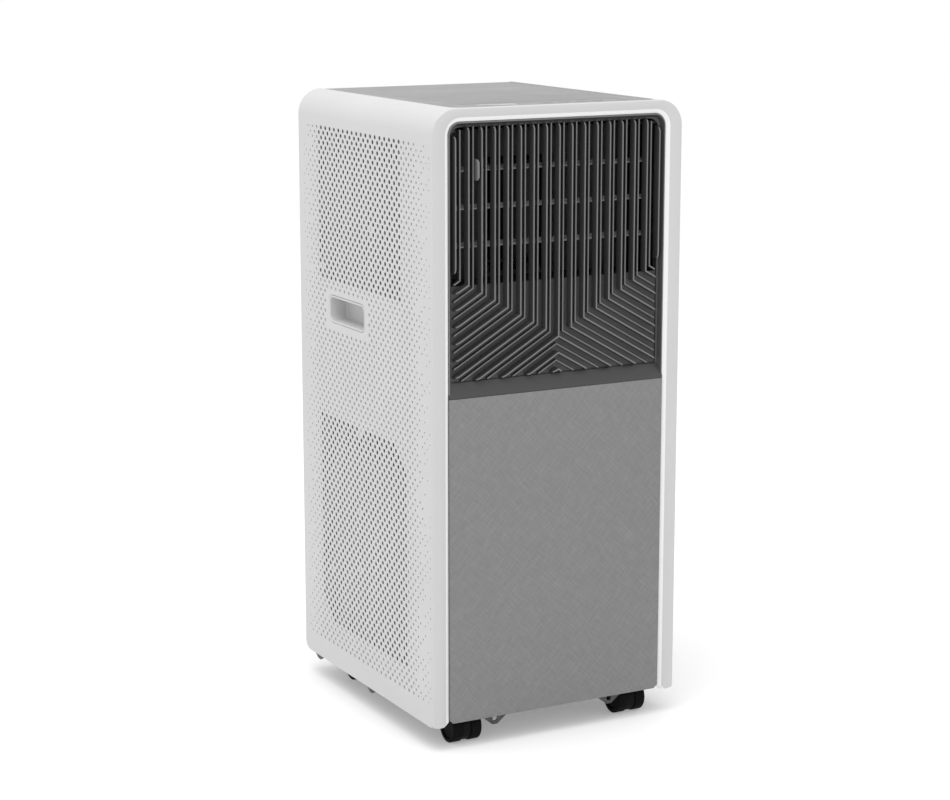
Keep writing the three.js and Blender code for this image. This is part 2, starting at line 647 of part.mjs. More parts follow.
function domedCan(x, y, r, z0, z1, dome, sides) {
  const profile = [[0, z0 - dome], [r * 0.6, z0 - dome * 0.75], [r, z0], [r, z1], [r * 0.6, z1 + dome * 0.75],
    [0, z1 + dome]].map(([a, b]) => new THREE.Vector2(a, b));
  const geometry = new THREE.LatheGeometry(profile, sides);
  geometry.rotateX(Math.PI / 2);
  geometry.translate(x, y, 0);
  return toSolid(geometry);
}

function compressor() {
  const { x, y, r, z0, z1 } = COMPRESSOR;
  const a = ACCUMULATOR;
  const feet = [90, 210, 330].map((degrees) => {
    const angle = degrees * Math.PI / 180;
    return [x + (r + 10) * Math.cos(angle), y + (r + 10) * Math.sin(angle)];
  });
  const plate = prism('XY', outline(feet), z0 - 3, z0).add(join(feet.map(([fx, fy]) =>
    rod('XY', fx, fy, 9, z0 - 3, z0, 12))));
  return join([
    domedCan(x, y, r, z0 + 12, z1, 12, 20),
    rod('XY', x, y, r - 6, z0 - 1, z0 + 30, 20),
    plate,
    rod('XY', x + 20, y + 25, 5, z1 - 4, z1 + 18, 12),
    domedCan(a.x, a.y, a.r, a.z0, a.z1, 8, 12),
    rod('XY', a.x, a.y, 5, a.z1, a.z1 + 14, 12),
    box(a.x, x - r + 6, a.y - 5, a.y + 5, a.z0 + 20, a.z0 + 26),
    box(a.x, x - r + 6, a.y - 8, a.y + 8, a.z1 - 40, a.z1 - 36),
  ]);
}

function dischargePipe() {
  const { x, y, z1 } = COMPRESSOR;
  return tube([[x + 20, y + 25, z1 + 18.4], [x + 20, y + 25, z1 + 38], [COND.inner - 0.4, y + 25, z1 + 38]], 4);
}

function suctionPipe() {
  const { x, y, z1 } = ACCUMULATOR;
  return tube([
    [x, y, z1 + 14.4], [x, y, z1 + 40], [SUCTION.x, SUCTION.y, z1 + 40], [SUCTION.x, SUCTION.y, EVAP.z0 - 0.4],
  ], 4);
}

// ---------------------------------------------------------------- base, tray and electrics

function basePan() {
  const { z0, floor, z1, halfX, y0, y1, wall } = BASE;
  const tub = box(-halfX, halfX, y0, y1, z0, z1)
    .subtract(box(-halfX + wall, halfX - wall, y0 + wall, y1 - wall, z0 + floor, z1 + 1));
  const posts = casterPlaces().map(([, x, y]) => rod('XY', x, y, 9, z0, CASTER.stemTop + 4, 12));
  const feet = [90, 210, 330].map((degrees) => {
    const angle = degrees * Math.PI / 180;
    const reach = COMPRESSOR.r + 10;
    return rod('XY', COMPRESSOR.x + reach * Math.cos(angle), COMPRESSOR.y + reach * Math.sin(angle), 7,
      z0, COMPRESSOR.z0 - 3 - GAP, 12);
  });
  const bores = casterPlaces().map(([, x, y]) => rod('XY', x, y, CASTER.bore, z0 - 1, CASTER.stemTop + 1, 12));
  const drain = DRAINS[1];
  bores.push(rod('XZ', drain.x, drain.z, DRAIN.stem + GAP, y1 - 10, y1 + 1, 16));
  const bosses = SCREWS.map(([x, z]) => box(x - 6, x + 6, y1 - 8, y1, z - 7, z + 7));
  bores.push(...SCREWS.map(([x, z]) => rod('XZ', x, z, SCREW.shank + GAP, y1 - 10, y1 + 1, 12)));
  return cut(join([tub, ...posts, ...feet, ...bosses]), bores);
}

// A bent strap under the base with a pierced, pointed tab turned down at each end.
function tabStrap(tabs, strap) {
  const sheet = 1.5;
  const top = BASE.z0 - GAP;
  const solids = [box(...strap, top - sheet, top)];
  const holes = [];
  for (const tab of tabs) {
    const shape = outline([
      [tab.along - tab.half, top], [tab.along - tab.half, tab.tip + tab.half * 0.44], [tab.along - 3, tab.tip],
      [tab.along + 3, tab.tip], [tab.along + tab.half, tab.tip + tab.half * 0.44], [tab.along + tab.half, top],
    ]);
    solids.push(prism(tab.plane, shape, tab.at - sheet / 2, tab.at + sheet / 2));
    holes.push(rod(tab.plane, tab.along, tab.tip + 9, 3, tab.at - 5, tab.at + 5, 12));
  }
  return cut(join(solids), holes);
}

function frontStrap() {
  const y = FRONT + 9;
  const tabs = [-73.2, 73.2].map((x) => ({ plane: 'XZ', along: x, at: y, half: 14, tip: BOTTOM - 11.3 }));
  return tabStrap(tabs, [-89, 89, y - 0.75, y + 10]);
}

function crossStrap(y) {
  const x = HALF_W - 6.3;
  const tabs = [-x, x].map((at) => ({ plane: 'YZ', along: y, at, half: 20, tip: BOTTOM - 9 }));
  return tabStrap(tabs, [-x - 0.75, x + 0.75, y - 8, y + 8]);
}

function middleTray() {
  const { z0, floor, z1, halfX, y0, y1 } = TRAY;
  const tub = box(-halfX, halfX, y0, y1, z0, z1)
    .subtract(box(-halfX + 2.5, halfX - 2.5, y0 + 2.5, y1 - 2.5, z0 + floor, z1 + 1));
  const spout = rod('XZ', DRAINS[0].x, DRAINS[0].z, 9, y1 - 2.5, y1 + 2, 16)
    .subtract(rod('XZ', DRAINS[0].x, DRAINS[0].z, DRAIN.stem + GAP, y1 - 10, y1 + 10, 16));
  const wall = box(DRAINS[0].x - 12, DRAINS[0].x + 12, y1 - 2.5, y1, z0, DRAINS[0].z + 10)
    .subtract(rod('XZ', DRAINS[0].x, DRAINS[0].z, DRAIN.stem + GAP, y1 - 10, y1 + 10, 16));
  const pipeHole = rod('XY', SUCTION.x, SUCTION.y, SUCTION.hole, z0 - 1, z0 + 5, 16);
  const stand = rod('XY', EVAP_FAN.x, EVAP_FAN.y, 30, z0, z1, 20);
  return cut(join([tub, wall, spout, stand]), [pipeHole,
    rod('XZ', DRAINS[0].x, DRAINS[0].z, DRAIN.stem + GAP, y1 - 2.6, y1 + 10, 16)]);
}

function controlBox() {
  const { halfX, y0, y1, z0, z1, wall } = CONTROL_BOX;
  return box(-halfX, halfX, y0, y1, z0, z1)
    .subtract(box(-halfX + wall, halfX - wall, y0 - 1, y1 - wall, z0 + wall, z1 - wall));
}

function mainBoard() {
  const { halfX, y1, z0, z1 } = CONTROL_BOX;
  const y = y1 - 6;
  return join([
    box(-halfX + 5, halfX - 48, y, y + 1.6, z0 + 5, z1 - 5),
    box(-70, -38, y - 18, y + 0.5, z0 + 14, z0 + 44),
    box(-20, -2, y - 12, y + 0.5, z0 + 12, z0 + 30),
    box(8, 26, y - 12, y + 0.5, z0 + 12, z0 + 30),
    box(-24, 30, y - 7, y + 0.5, z0 + 42, z0 + 58),
  ]);
}

function capacitor() {
  const { halfX, y0, z0, z1 } = CONTROL_BOX;
  const x = halfX - 23;
  return join([
    rod('XY', x, y0 + 19, 14, z0 + 4, z1 - 14, 20),
    box(x - 6, x - 4, y0 + 16, y0 + 22, z1 - 15, z1 - 6),
    box(x + 4, x + 6, y0 + 16, y0 + 22, z1 - 15, z1 - 6),
  ]);
}

function splashWheel() {
  const { x, y, r, z0, z1 } = SPLASH;
  const blades = [];
  for (let i = 0; i < 8; i++) {
    const geometry = new THREE.BoxGeometry(r - 8, 1.5, z1 - z0 + 5);
    geometry.translate(8 + (r - 8) / 2, 0, 0);
    geometry.rotateZ(i * Math.PI / 4);
    geometry.translate(x, y, (z0 + z1) / 2 + 2);
    blades.push(toSolid(geometry));
  }
  return join([rod('XY', x, y, r, z0, z1 - 2, 24), rod('XY', x, y, 9, z0, z1 + 5, 12), ...blades])
    .subtract(rod('XY', x, y, 2.3, z0 - 1, z1 + 10, 12));
}

function splashMotor() {
  const { x, y, z0, z1 } = SPLASH;
  return join([
    rod('XY', x, y, 17, z1 + 9, z1 + 40, 20),
    rod('XY', x, y, 2, z0 + 1, z1 + 12, 12),
    box(x - 6, COND.inner - 0.5, y - 8, y + 8, z1 + 36, z1 + 39),
  ]);
}

// ---------------------------------------------------------------- casters

function casterPlaces() {
  return [
    ['front_left', -CASTER.x, CASTER.frontY], ['front_right', CASTER.x, CASTER.frontY],
    ['rear_left', -CASTER.x, CASTER.rearY], ['rear_right', CASTER.x, CASTER.rearY],
  ];
}

function casterFork(x, y) {
  const { offset, radius, half, web, stem, hood, hoodWall, axle, stemTop, brow } = CASTER;
  const cy = y - offset;
  const arc = new THREE.Shape();
  arc.absarc(cy, radius, hood + hoodWall, brow, Math.PI - brow, false);
  arc.absarc(cy, radius, hood, Math.PI - brow, brow, true);
  const fork = join([
    prism('YZ', arc, x - half, x + half, 6),
    box(x - web, x + web, cy - 8, y + 4, radius, radius + hood + 0.5),
    rod('YZ', cy, radius, 8, x - web, x + web, 12),
    rod('XY', x, y, 7, radius + hood, BASE.z0 - 1.2, 12),
    rod('XY', x, y, stem, radius + 12, stemTop, 12),
  ]);
  return fork.subtract(rod('YZ', cy, radius, axle + GAP, x - 30, x + 30, 10));
}

function casterWheels(x, y) {
  const { offset, radius, half, web, axle } = CASTER;
  const cy = y - offset;
  const wheel = (low, high) => rod('YZ', cy, radius, radius, low, high, 24);
  return join([
    wheel(x - half, x - web - 1), wheel(x + web + 1, x + half),
    rod('YZ', cy, radius, axle, x - half + 1, x + half - 1, 10),
  ]);
}

// ---------------------------------------------------------------- assembly

add('side_panel_left', sidePanel(-1), white());
add('side_panel_right', sidePanel(1), white());
add('handle_cup_left', handleCup(-1), white());
add('handle_cup_right', handleCup(1), white());
add('front_bezel', frontBezel(), white());
add('top_cover', topCover(), greyTop());
add('control_panel', controlPanel(), greyTop());
add('display_window', displayWindow(), black());
add('control_board', controlBoard(), innerGrey());
add('front_lower_panel', lowerPanel(), panelGrey());
add('front_grille', frontGrille(), charcoal());
add('rear_cover', rearCover(), white());
add('filter_left', filterFrame(-1), charcoal());
add('filter_right', filterFrame(1), charcoal());
add('exhaust_collar', exhaustCollar(), charcoal());
add('cord_inlet', cordInlet(), black());
add('outlet_duct', outletDuct(), charcoal());
add('louvre_link', louvreLink(), charcoal(), [LOUVRE.earX + 4, LINK_Y, louvreHeights()[0]]);
add('louvre_lever', louvreLever(), charcoal(), [LOUVRE.leverX, LOUVRE.y, louvreHeights()[0]]);
add('base_pan', basePan(), black());
add('front_strap', frontStrap(), steel());
add('middle_strap', crossStrap(0), steel());
add('rear_strap', crossStrap(REAR - 26), steel());
add('middle_tray', middleTray(), innerGrey());
add('evaporator_coil', coilU(EVAP, true), fins());
add('condenser_coil', coilU(COND, false), fins());
add('evaporator_scroll', scrollHousing(EVAP_FAN, -1, DUCT.y1 + GAP, 44), innerGrey());
add('condenser_scroll', scrollHousing(COND_FAN, 1, EXHAUST.y0 - GAP, 54), innerGrey());
add('evaporator_fan', blowerWheel(EVAP_FAN, 20), black(), [EVAP_FAN.x, EVAP_FAN.y, EVAP_FAN.wheelZ0]);
add('condenser_fan', blowerWheel(COND_FAN, 20), black(), [COND_FAN.x, COND_FAN.y, COND_FAN.wheelZ0]);
add('evaporator_motor', fanMotor(EVAP_FAN, TRAY.z1 + GAP, 34), steel());
add('condenser_motor', fanMotor(COND_FAN, 264, 34), steel());
add('compressor', compressor(), black());
add('discharge_pipe', dischargePipe(), copper());
add('suction_pipe', suctionPipe(), copper());
add('splash_wheel', splashWheel(), black(), [SPLASH.x, SPLASH.y, SPLASH.z0]);
add('splash_motor', splashMotor(), steel());
add('control_box', controlBox(), steel());
add('main_board', mainBoard(), innerGrey());
add('capacitor', capacitor(), steel());

louvreHeights().forEach((z, i) => {
  add(`louvre_blade_${i + 1}`, louvreBlade(z), charcoal(), [0, LOUVRE.y, z]);
});
for (let i = 0; i < BUTTON.count; i++) {
  const key = rod('XY', buttonX(i), BUTTON_Y, BUTTON.radius, BUTTON.top - BUTTON.length, BUTTON.top, 12);
  add(`button_${i + 1}`, key, greyTop(), [buttonX(i), BUTTON_Y, BUTTON.top]);
}
for (const drain of DRAINS) {
  add(drain.name, drainPlug(drain), black(), [drain.x, REAR, drain.z]);
}
SCREWS.forEach(([x, z], i) => {
  add(`rear_screw_${i + 1}`, screw(x, z), steel(), [x, REAR, z]);
});
for (const [place, x, y] of casterPlaces()) {
  const caster = new THREE.Group();
  caster.position.set(x, y, 0);
  airConditioner.add(caster);
  add(`caster_${place}_fork`, casterFork(0, 0), black(), [0, 0, BASE.z0], caster);
  add(`caster_${place}_wheels`, casterWheels(0, 0), black(), [0, -CASTER.offset, CASTER.radius], caster);
}

export default airConditioner;
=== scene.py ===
import math
import random

import bmesh
import bpy
from mathutils import Matrix, Vector


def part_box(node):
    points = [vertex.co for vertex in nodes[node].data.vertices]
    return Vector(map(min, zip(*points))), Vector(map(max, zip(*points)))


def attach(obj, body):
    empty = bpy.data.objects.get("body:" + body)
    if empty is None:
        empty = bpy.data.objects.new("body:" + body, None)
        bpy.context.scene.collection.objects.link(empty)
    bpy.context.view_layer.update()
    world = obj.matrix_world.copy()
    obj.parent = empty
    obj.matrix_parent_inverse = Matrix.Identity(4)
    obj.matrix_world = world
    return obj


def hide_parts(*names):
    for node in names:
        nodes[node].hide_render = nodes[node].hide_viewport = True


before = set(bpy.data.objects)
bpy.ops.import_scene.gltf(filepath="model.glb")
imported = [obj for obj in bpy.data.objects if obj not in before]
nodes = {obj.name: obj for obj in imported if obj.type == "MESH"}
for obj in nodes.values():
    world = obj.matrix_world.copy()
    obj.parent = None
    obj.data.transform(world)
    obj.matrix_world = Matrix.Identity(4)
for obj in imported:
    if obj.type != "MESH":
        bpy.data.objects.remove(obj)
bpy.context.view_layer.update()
scene = bpy.context.scene
print("frame loaded:", len(nodes), "nodes")

# ---- camera, light and floor

camera = {"place": (-1.251, -2.3195, 0.886), "turn": 28.10, "down": 11.56, "lens": 88.9}
cameraData = bpy.data.cameras.new("camera")
cameraData.lens = camera["lens"]
cameraObject = bpy.data.objects.new("camera", cameraData)
cameraObject.location = camera["place"]
cameraObject.rotation_euler = (
    math.radians(90 - camera["down"]), 0, math.radians(-camera["turn"]))
scene.collection.objects.link(cameraObject)
scene.camera = cameraObject
scene.view_settings.view_transform = "Standard"

studio = {
    "sky": 1.0,
    "lamps": [
        # name, place, size, watts
        ("overhead", (-0.7, -0.5, 2.6), 1.8, 30),
        ("left", (-3.0, -0.8, 1.3), 2.0, 1.5),
        ("front", (0.6, -3.4, 1.2), 2.0, 5),
    ],
}


def lightStudio():
    world = bpy.data.worlds.new("studio")
    world.use_nodes = True
    sky = world.node_tree.nodes["Background"]
    sky.inputs["Color"].default_value = (1, 1, 1, 1)
    sky.inputs["Strength"].default_value = studio["sky"]
    scene.world = world
    middle = Vector((0, 0, 0.4))
    for name, place, size, watts in studio["lamps"]:
        lamp = bpy.data.lights.new(name, "AREA")
        lamp.size = size
        lamp.energy = watts
        lampObject = bpy.data.objects.new(name, lamp)
        lampObject.location = place
        aim = middle - Vector(place)
        lampObject.rotation_euler = aim.to_track_quat("-Z", "Y").to_euler()
        scene.collection.objects.link(lampObject)


lightStudio()
print("studio lit")

# ---- shader writing


class Wire:
    # a node's output, which can stand in a sum
    def __init__(self, paint, socket):
        self.paint = paint
        self.socket = socket

    def maths(self, operation, first, second):
        return self.paint.node("ShaderNodeMath", {"operation": operation}, {0: first, 1: second})

    def __add__(self, other):
        return self.maths("ADD", self, other)

    def __radd__(self, other):
        return self.maths("ADD", other, self)

    def __mul__(self, other):
        return self.maths("MULTIPLY", self, other)

    def __rmul__(self, other):
        return self.maths("MULTIPLY", other, self)

    def larger(self, other):
        return self.maths("MAXIMUM", self, other)


def grey(level):
    return (level, level, level, 1.0)


class Paint:
    # one material under construction
    def __init__(self, name, **constants):
        self.material = bpy.data.materials.new(name)
        self.material.use_nodes = True
        self.tree = self.material.node_tree
        self.shader = self.tree.nodes["Principled BSDF"]
        for socket, value in constants.items():
            self.shader.inputs[socket.replace("_", " ")].default_value = value
        self.place = self.node("ShaderNodeTexCoord", output="Object")

    def node(self, kind, settings=None, inputs=None, output=0):
        made = self.tree.nodes.new(kind)
        for key, value in (settings or {}).items():
            if key == "stops":
                self.fillRamp(made.color_ramp, value)
            else:
                setattr(made, key, value)
        for key, value in (inputs or {}).items():
            if isinstance(value, Wire):
                self.tree.links.new(value.socket, made.inputs[key])
            else:
                made.inputs[key].default_value = value
        return Wire(self, made.outputs[output])

    def fillRamp(self, ramp, stops):
        while len(ramp.elements) < len(stops):
            ramp.elements.new(0.5)
        for element, (at, level) in zip(ramp.elements, stops):
            element.position = at
            element.color = grey(level)

    def turned(self, angle=(0, 0, 0), stretch=(1, 1, 1)):
        # turns the pattern first, then squeezes it along the turned axes
        rotation = [math.radians(a) for a in angle]
        return self.node("ShaderNodeMapping", {"vector_type": "TEXTURE"}, {
            "Vector": self.place, "Rotation": rotation, "Scale": [1 / k for k in stretch]})

    def noise(self, scale, detail=2.0, rough=0.5, vector=None):
        return self.node("ShaderNodeTexNoise", {}, {
            "Vector": vector or self.place, "Scale": scale, "Detail": detail, "Roughness": rough})

    def ramp(self, value, *stops):
        return self.node("ShaderNodeValToRGB", {"stops": stops}, {"Fac": value})

    def mix(self, share, first, second):
        return self.node("ShaderNodeMix", {"data_type": "RGBA"}, {0: share, 6: first, 7: second}, 2)

    def bump(self, height, strength, depth):
        return self.node("ShaderNodeBump", {}, {
            "Height": height, "Strength": strength, "Distance": depth})

    def feed(self, **wires):
        for socket, wire in wires.items():
            self.tree.links.new(wire.socket, self.shader.inputs[socket.replace("_", " ")])
        return self.material


def tone(colour, factor):
    return tuple(min(c * factor, 1.0) for c in colour[:3]) + (1.0,)


def mouldedPlastic(name, colour, rough, grain=0.00005, grainScale=2600, drift=0.04, coat=0.0,
                   gloss=0.5):
    # satin moulded plastic: a faint spark-eroded grain, slow tone drift and handling smears
    paint = Paint(
        name, IOR=1.46, Coat_Weight=coat, Coat_Roughness=0.2, Specular_IOR_Level=gloss)
    slow = paint.noise(7, 3)
    fine = paint.noise(grainScale, 2, 0.6)
    smear = paint.noise(18, 4, 0.65, paint.turned((20, 35, 10), (1, 1, 0.35)))
    base = paint.mix(slow, tone(colour, 1 - drift), tone(colour, 1 + drift))
    return paint.feed(
        Base_Color=paint.mix(fine * 0.25, base, tone(colour, 0.9)),
        Roughness=paint.ramp(smear, (0.3, rough - 0.05), (0.7, rough + 0.06)),
        Normal=paint.bump(fine, 0.35, grain))


def hatchedSheet(name, colour):
    # short random strokes at two slants, pressed into a matt sheet
    paint = Paint(name, IOR=1.45)
    layers = []
    for slant, size in ((43, 1.0), (-47, 1.07), (38, 2.1), (-41, 2.3)):
        strokes = paint.noise(size, 1.5, 0.45, paint.turned((0, slant, 0), (600, 1, 52)))
        layers.append(paint.ramp(strokes, (0.42, 0.0), (0.68, 1.0)))
    weave = (layers[0] + layers[1]) * 0.32 + (layers[2] + layers[3]) * 0.18
    slow = paint.noise(9, 3)
    base = paint.mix(slow, tone(colour, 0.95), tone(colour, 1.04))
    return paint.feed(
        Base_Color=paint.mix(weave, tone(colour, 0.88), paint.mix(0.55, base, tone(colour, 1.25))),
        Roughness=paint.ramp(weave, (0.0, 0.62), (1.0, 0.46)),
        Normal=paint.bump(weave, 0.3, 0.00012))


def sheetSteel(name, colour, rough):
    # galvanised sheet: crystals of zinc and long rolling marks
    paint = Paint(name)
    crystal = paint.node("ShaderNodeTexVoronoi", {}, {"Vector": paint.place, "Scale": 190.0}, 1)
    rolled = paint.noise(30, 3, 0.6, paint.turned((0, 0, 0), (0.2, 9, 9)))
    base = paint.mix(crystal, tone(colour, 0.82), tone(colour, 1.1))
    return paint.feed(
        Base_Color=base, Metallic=paint.ramp(rolled, (0.2, 0.88), (0.8, 0.98)),
        Roughness=paint.ramp(rolled, (0.3, rough - 0.07), (0.7, rough + 0.1)),
        Normal=paint.bump(rolled, 0.2, 0.00008))


def finStack(name, colour, pitch=0.0016):
    # thin fins stacked along Z, with painted shade in the gap between them
    paint = Paint(name)
    height = paint.node("ShaderNodeSeparateXYZ", {}, {0: paint.place}, 2)
    cycle = paint.node("ShaderNodeMath", {"operation": "FRACT"}, {0: height * (1 / pitch)})
    fin = paint.ramp(cycle, (0.2, 0.0), (0.45, 1.0), (0.75, 1.0), (0.98, 0.0))
    bent = paint.noise(60, 3)
    return paint.feed(
        Base_Color=paint.mix(fin * (0.6 + bent * 0.6), grey(0.02), tone(colour, 1.0)),
        Metallic=fin * 0.9, Roughness=paint.ramp(bent, (0.3, 0.3), (0.7, 0.5)),
        Normal=paint.bump(fin, 0.8, 0.0004))


def nylonMesh(name, colour, cell=0.0014):
    paint = Paint(name, IOR=1.5)
    waves = []
    for axis in (1, 2):
        run = paint.node("ShaderNodeSeparateXYZ", {}, {0: paint.place}, axis)
        cycle = paint.node("ShaderNodeMath", {"operation": "FRACT"}, {0: run * (1 / cell)})
        waves.append(paint.ramp(cycle, (0.1, 1.0), (0.3, 0.0), (0.8, 0.0), (0.98, 1.0)))
    thread = waves[0].larger(waves[1])
    dust = paint.noise(40, 4)
    # the open cells between the threads are painted dark, painted shade; dust lightens the threads
    return paint.feed(
        Base_Color=paint.mix(thread, tone(colour, 0.25), paint.mix(dust * 0.3, colour, grey(0.2))),
        Roughness=paint.ramp(thread, (0.0, 0.8), (1.0, 0.45)),
        Normal=paint.bump(thread, 0.7, 0.0003))


def circuitLaminate(name):
    paint = Paint(name, IOR=1.5, Coat_Weight=0.4)
    tracks = paint.node("ShaderNodeTexBrick", {}, {
        "Vector": paint.place, "Scale": 60.0, "Mortar Size": 0.05, "Color1": (0.02, 0.12, 0.04, 1),
        "Color2": (0.015, 0.09, 0.03, 1), "Mortar": (0.05, 0.2, 0.07, 1)})
    fine = paint.noise(500, 3)
    return paint.feed(
        Base_Color=tracks, Roughness=paint.ramp(fine, (0.3, 0.3), (0.7, 0.5)),
        Normal=paint.bump(fine, 0.3, 0.0001))


def drawnCopper(name):
    paint = Paint(name, Metallic=1.0)
    heat = paint.noise(22, 4, 0.6)
    drawn = paint.noise(400, 2, 0.5, paint.turned((0, 0, 0), (1, 1, 0.05)))
    return paint.feed(
        Base_Color=paint.mix(heat, (0.55, 0.2, 0.09, 1), (0.72, 0.36, 0.2, 1)),
        Roughness=paint.ramp(heat, (0.3, 0.22), (0.8, 0.42)), Normal=paint.bump(drawn, 0.2, 0.00006))


def treadRubber(name):
    # dull black rubber with rolled-in dust
    paint = Paint(name, IOR=1.3, Specular_IOR_Level=0.2)
    pores = paint.noise(1600, 3, 0.6)
    dust = paint.ramp(paint.noise(90, 5, 0.65), (0.5, 0.0), (0.8, 1.0))
    return paint.feed(
        Base_Color=paint.mix(dust * 0.25, grey(0.001), grey(0.012)),
        Roughness=paint.ramp(pores, (0.3, 0.5), (0.7, 0.68)), Normal=paint.bump(pores, 0.4, 0.0001))


finishes = {
    "case_white": mouldedPlastic("case_white", grey(0.53), 0.42),
    # a lighter, glossier white for the slope round the bezel's opening; its extra lightness is a
    # painted highlight
    "painted_highlight_white": mouldedPlastic("painted_highlight_white", grey(0.76), 0.25, grain=0.00002, drift=0.01, coat=0.5),
    "top_grey": mouldedPlastic("top_grey", grey(0.215), 0.45, grain=0.00008, grainScale=1900),
    "display_black": mouldedPlastic("display_black", grey(0.012), 0.12, grain=0.00001, coat=0.8),
    "panel_weave": hatchedSheet("panel_weave", grey(0.19)),
    "grille_charcoal": mouldedPlastic("grille_charcoal", grey(0.042), 0.42),
    # a lighter copy of the grille's charcoal for the bars' front faces and the frame's rim: a painted
    # highlight
    "grille_painted_highlight": mouldedPlastic("grille_painted_highlight", grey(0.15), 0.38),
    # louvre blades painted lighter than the grille's charcoal to brighten them in the duct's shade:
    # painted light
    "blade_painted_light_grey": mouldedPlastic("blade_painted_light_grey", grey(0.32), 0.4),
    "lever_grey": mouldedPlastic("lever_grey", grey(0.17), 0.4),
    "filter_frame": mouldedPlastic("filter_frame", grey(0.05), 0.5),
    "filter_mesh": nylonMesh("filter_mesh", grey(0.07)),
    "black_plastic": mouldedPlastic("black_plastic", grey(0.01), 0.48, grain=0.00009),
    "caster_tread": treadRubber("caster_tread"),
    "caster_hood": mouldedPlastic("caster_hood", grey(0.001), 0.6, grain=0.00009, gloss=0.15),
    "strap_steel": sheetSteel("strap_steel", grey(0.085), 0.42),
    "inner_grey": mouldedPlastic("inner_grey", (0.25, 0.26, 0.27, 1), 0.55, grain=0.0001),
    "circuit_board": circuitLaminate("circuit_board"),
    "coil_fins": finStack("coil_fins", grey(0.5)),
    "compressor_black": mouldedPlastic("compressor_black", grey(0.012), 0.3, grain=0.0001, coat=0.4),
    "copper_pipe": drawnCopper("copper_pipe"),
}
print("finishes ready:", len(finishes))


def layFloor():
    # a table lit faintly from below, which keeps the shadow under the machine pale
    floor = {"size": 60, "colour": grey(0.73), "glow": 0.25}
    bm = bmesh.new()
    bmesh.ops.create_grid(bm, x_segments=1, y_segments=1, size=floor["size"])
    mesh = bpy.data.meshes.new("floor")
    bm.to_mesh(mesh)
    bm.free()
    floorObject = bpy.data.objects.new("floor", mesh)
    scene.collection.objects.link(floorObject)
    paint = Paint(
        "floor", Base_Color=floor["colour"], Roughness=0.9, Emission_Color=grey(1.0),
        Emission_Strength=floor["glow"])
    mesh.materials.append(paint.material)


layFloor()

# ---- modelling helpers

closeFit = 1e-6  # how exactly two places agree when they are the same
looseFit = 1e-5  # the same after a few more sums
sharpFrom = 32  # degrees between faces, from which an edge is drawn sharp


def finishPiece(name, bm, body, slotName, replaced=(), materials=()):
    # puts a bmesh into the scene as one named piece on a body
    mesh = bpy.data.meshes.new(name)
    for face in bm.faces:
        face.smooth = True
    bm.to_mesh(mesh)
    bm.free()
    mesh.set_sharp_from_angle(angle=math.radians(sharpFrom))
    piece = bpy.data.objects.new(name, mesh)
    scene.collection.objects.link(piece)
    for material in materials or (slotName,):
        mesh.materials.append(finishes[material])
    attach(piece, body)
    if replaced:
        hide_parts(*replaced)
    return piece


def soften(bm, edges, size, segments=2):
    bmesh.ops.bevel(
        bm, geom=list(edges), offset=size, offset_type="OFFSET", segments=segments, profile=0.5,
        affect="EDGES", material=-1, clamp_overlap=True)


def roundCorners(bm, verts, radius, segments=6):
    bmesh.ops.bevel(
        bm, geom=list(verts), offset=radius, offset_type="OFFSET", segments=segments, profile=0.5,
        affect="VERTICES", material=-1, clamp_overlap=True)


def sharpEdges(bm, angle=30):
    limit = math.radians(angle)
    return [e for e in bm.edges if len(e.link_faces) == 2 and e.calc_face_angle(0) > limit]


def newVerts(made):
    return [g for g in made["geom"] if isinstance(g, bmesh.types.BMVert)]


def push(bm, faces, offset):
    # extrudes faces along an offset and returns the far ones
    made = bmesh.ops.extrude_face_region(bm, geom=list(faces))
    bmesh.ops.translate(bm, vec=offset, verts=newVerts(made))
    return [g for g in made["geom"] if isinstance(g, bmesh.types.BMFace)]


def plate(bm, corners):
    # a face from a few corner points
    return bm.faces.new([bm.verts.new(c) for c in corners])


def block(bm, low, high):
    matrix = Matrix.Translation((Vector(low) + Vector(high)) / 2)
    size = Vector(high) - Vector(low)
    bmesh.ops.create_cube(bm, size=1, matrix=matrix @ Matrix.Diagonal((*size, 1)))


def drum(bm, centre, radius, low, high, segments):
    # a cylinder along X, between two places on it
    place = Vector(centre)
    place.x = (low + high) / 2
    bmesh.ops.create_cone(
        bm, cap_ends=True, segments=segments, radius1=radius, radius2=radius, depth=high - low,
        matrix=Matrix.Translation(place) @ Matrix.Rotation(math.pi / 2, 4, "Y"))


def outward(bm):
    bmesh.ops.recalc_face_normals(bm, faces=bm.faces[:])


def faceTowards(bm, direction):
    # turns an open sheet so that most of it faces one way
    outward(bm)
    if sum(f.normal.dot(direction) * f.calc_area() for f in bm.faces) < 0:
        bmesh.ops.reverse_faces(bm, faces=bm.faces[:])


def mergedCopy(node):
    # a CAD node's own shape with its triangles joined into faces
    bm = bmesh.new()
    bm.from_mesh(nodes[node].data)
    bmesh.ops.remove_doubles(bm, verts=bm.verts[:], dist=0.00002)
    bmesh.ops.dissolve_limit(
        bm, angle_limit=math.radians(1), verts=bm.verts[:], edges=bm.edges[:])
    return bm


def softenedNode(node, finish, size, body, segments=2, slotName=None):
    # that shape with its sharp edges rounded over
    bm = mergedCopy(node)
    soften(bm, sharpEdges(bm), size, segments)
    finishPiece(node + "_shape", bm, body, slotName or finish, [node], (finish,))


def repaint(node, finish):
    mesh = nodes[node].data
    mesh.materials.clear()
    mesh.materials.append(finishes[finish])
    for polygon in mesh.polygons:
        polygon.material_index = 0


# ---- wrap-round case

bezelLow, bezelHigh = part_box("front_bezel")
front, rear, bottom, top = bezelLow.y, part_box("side_panel_left")[1].y, bezelLow.z, bezelHigh.z
halfWidth = bezelHigh.x

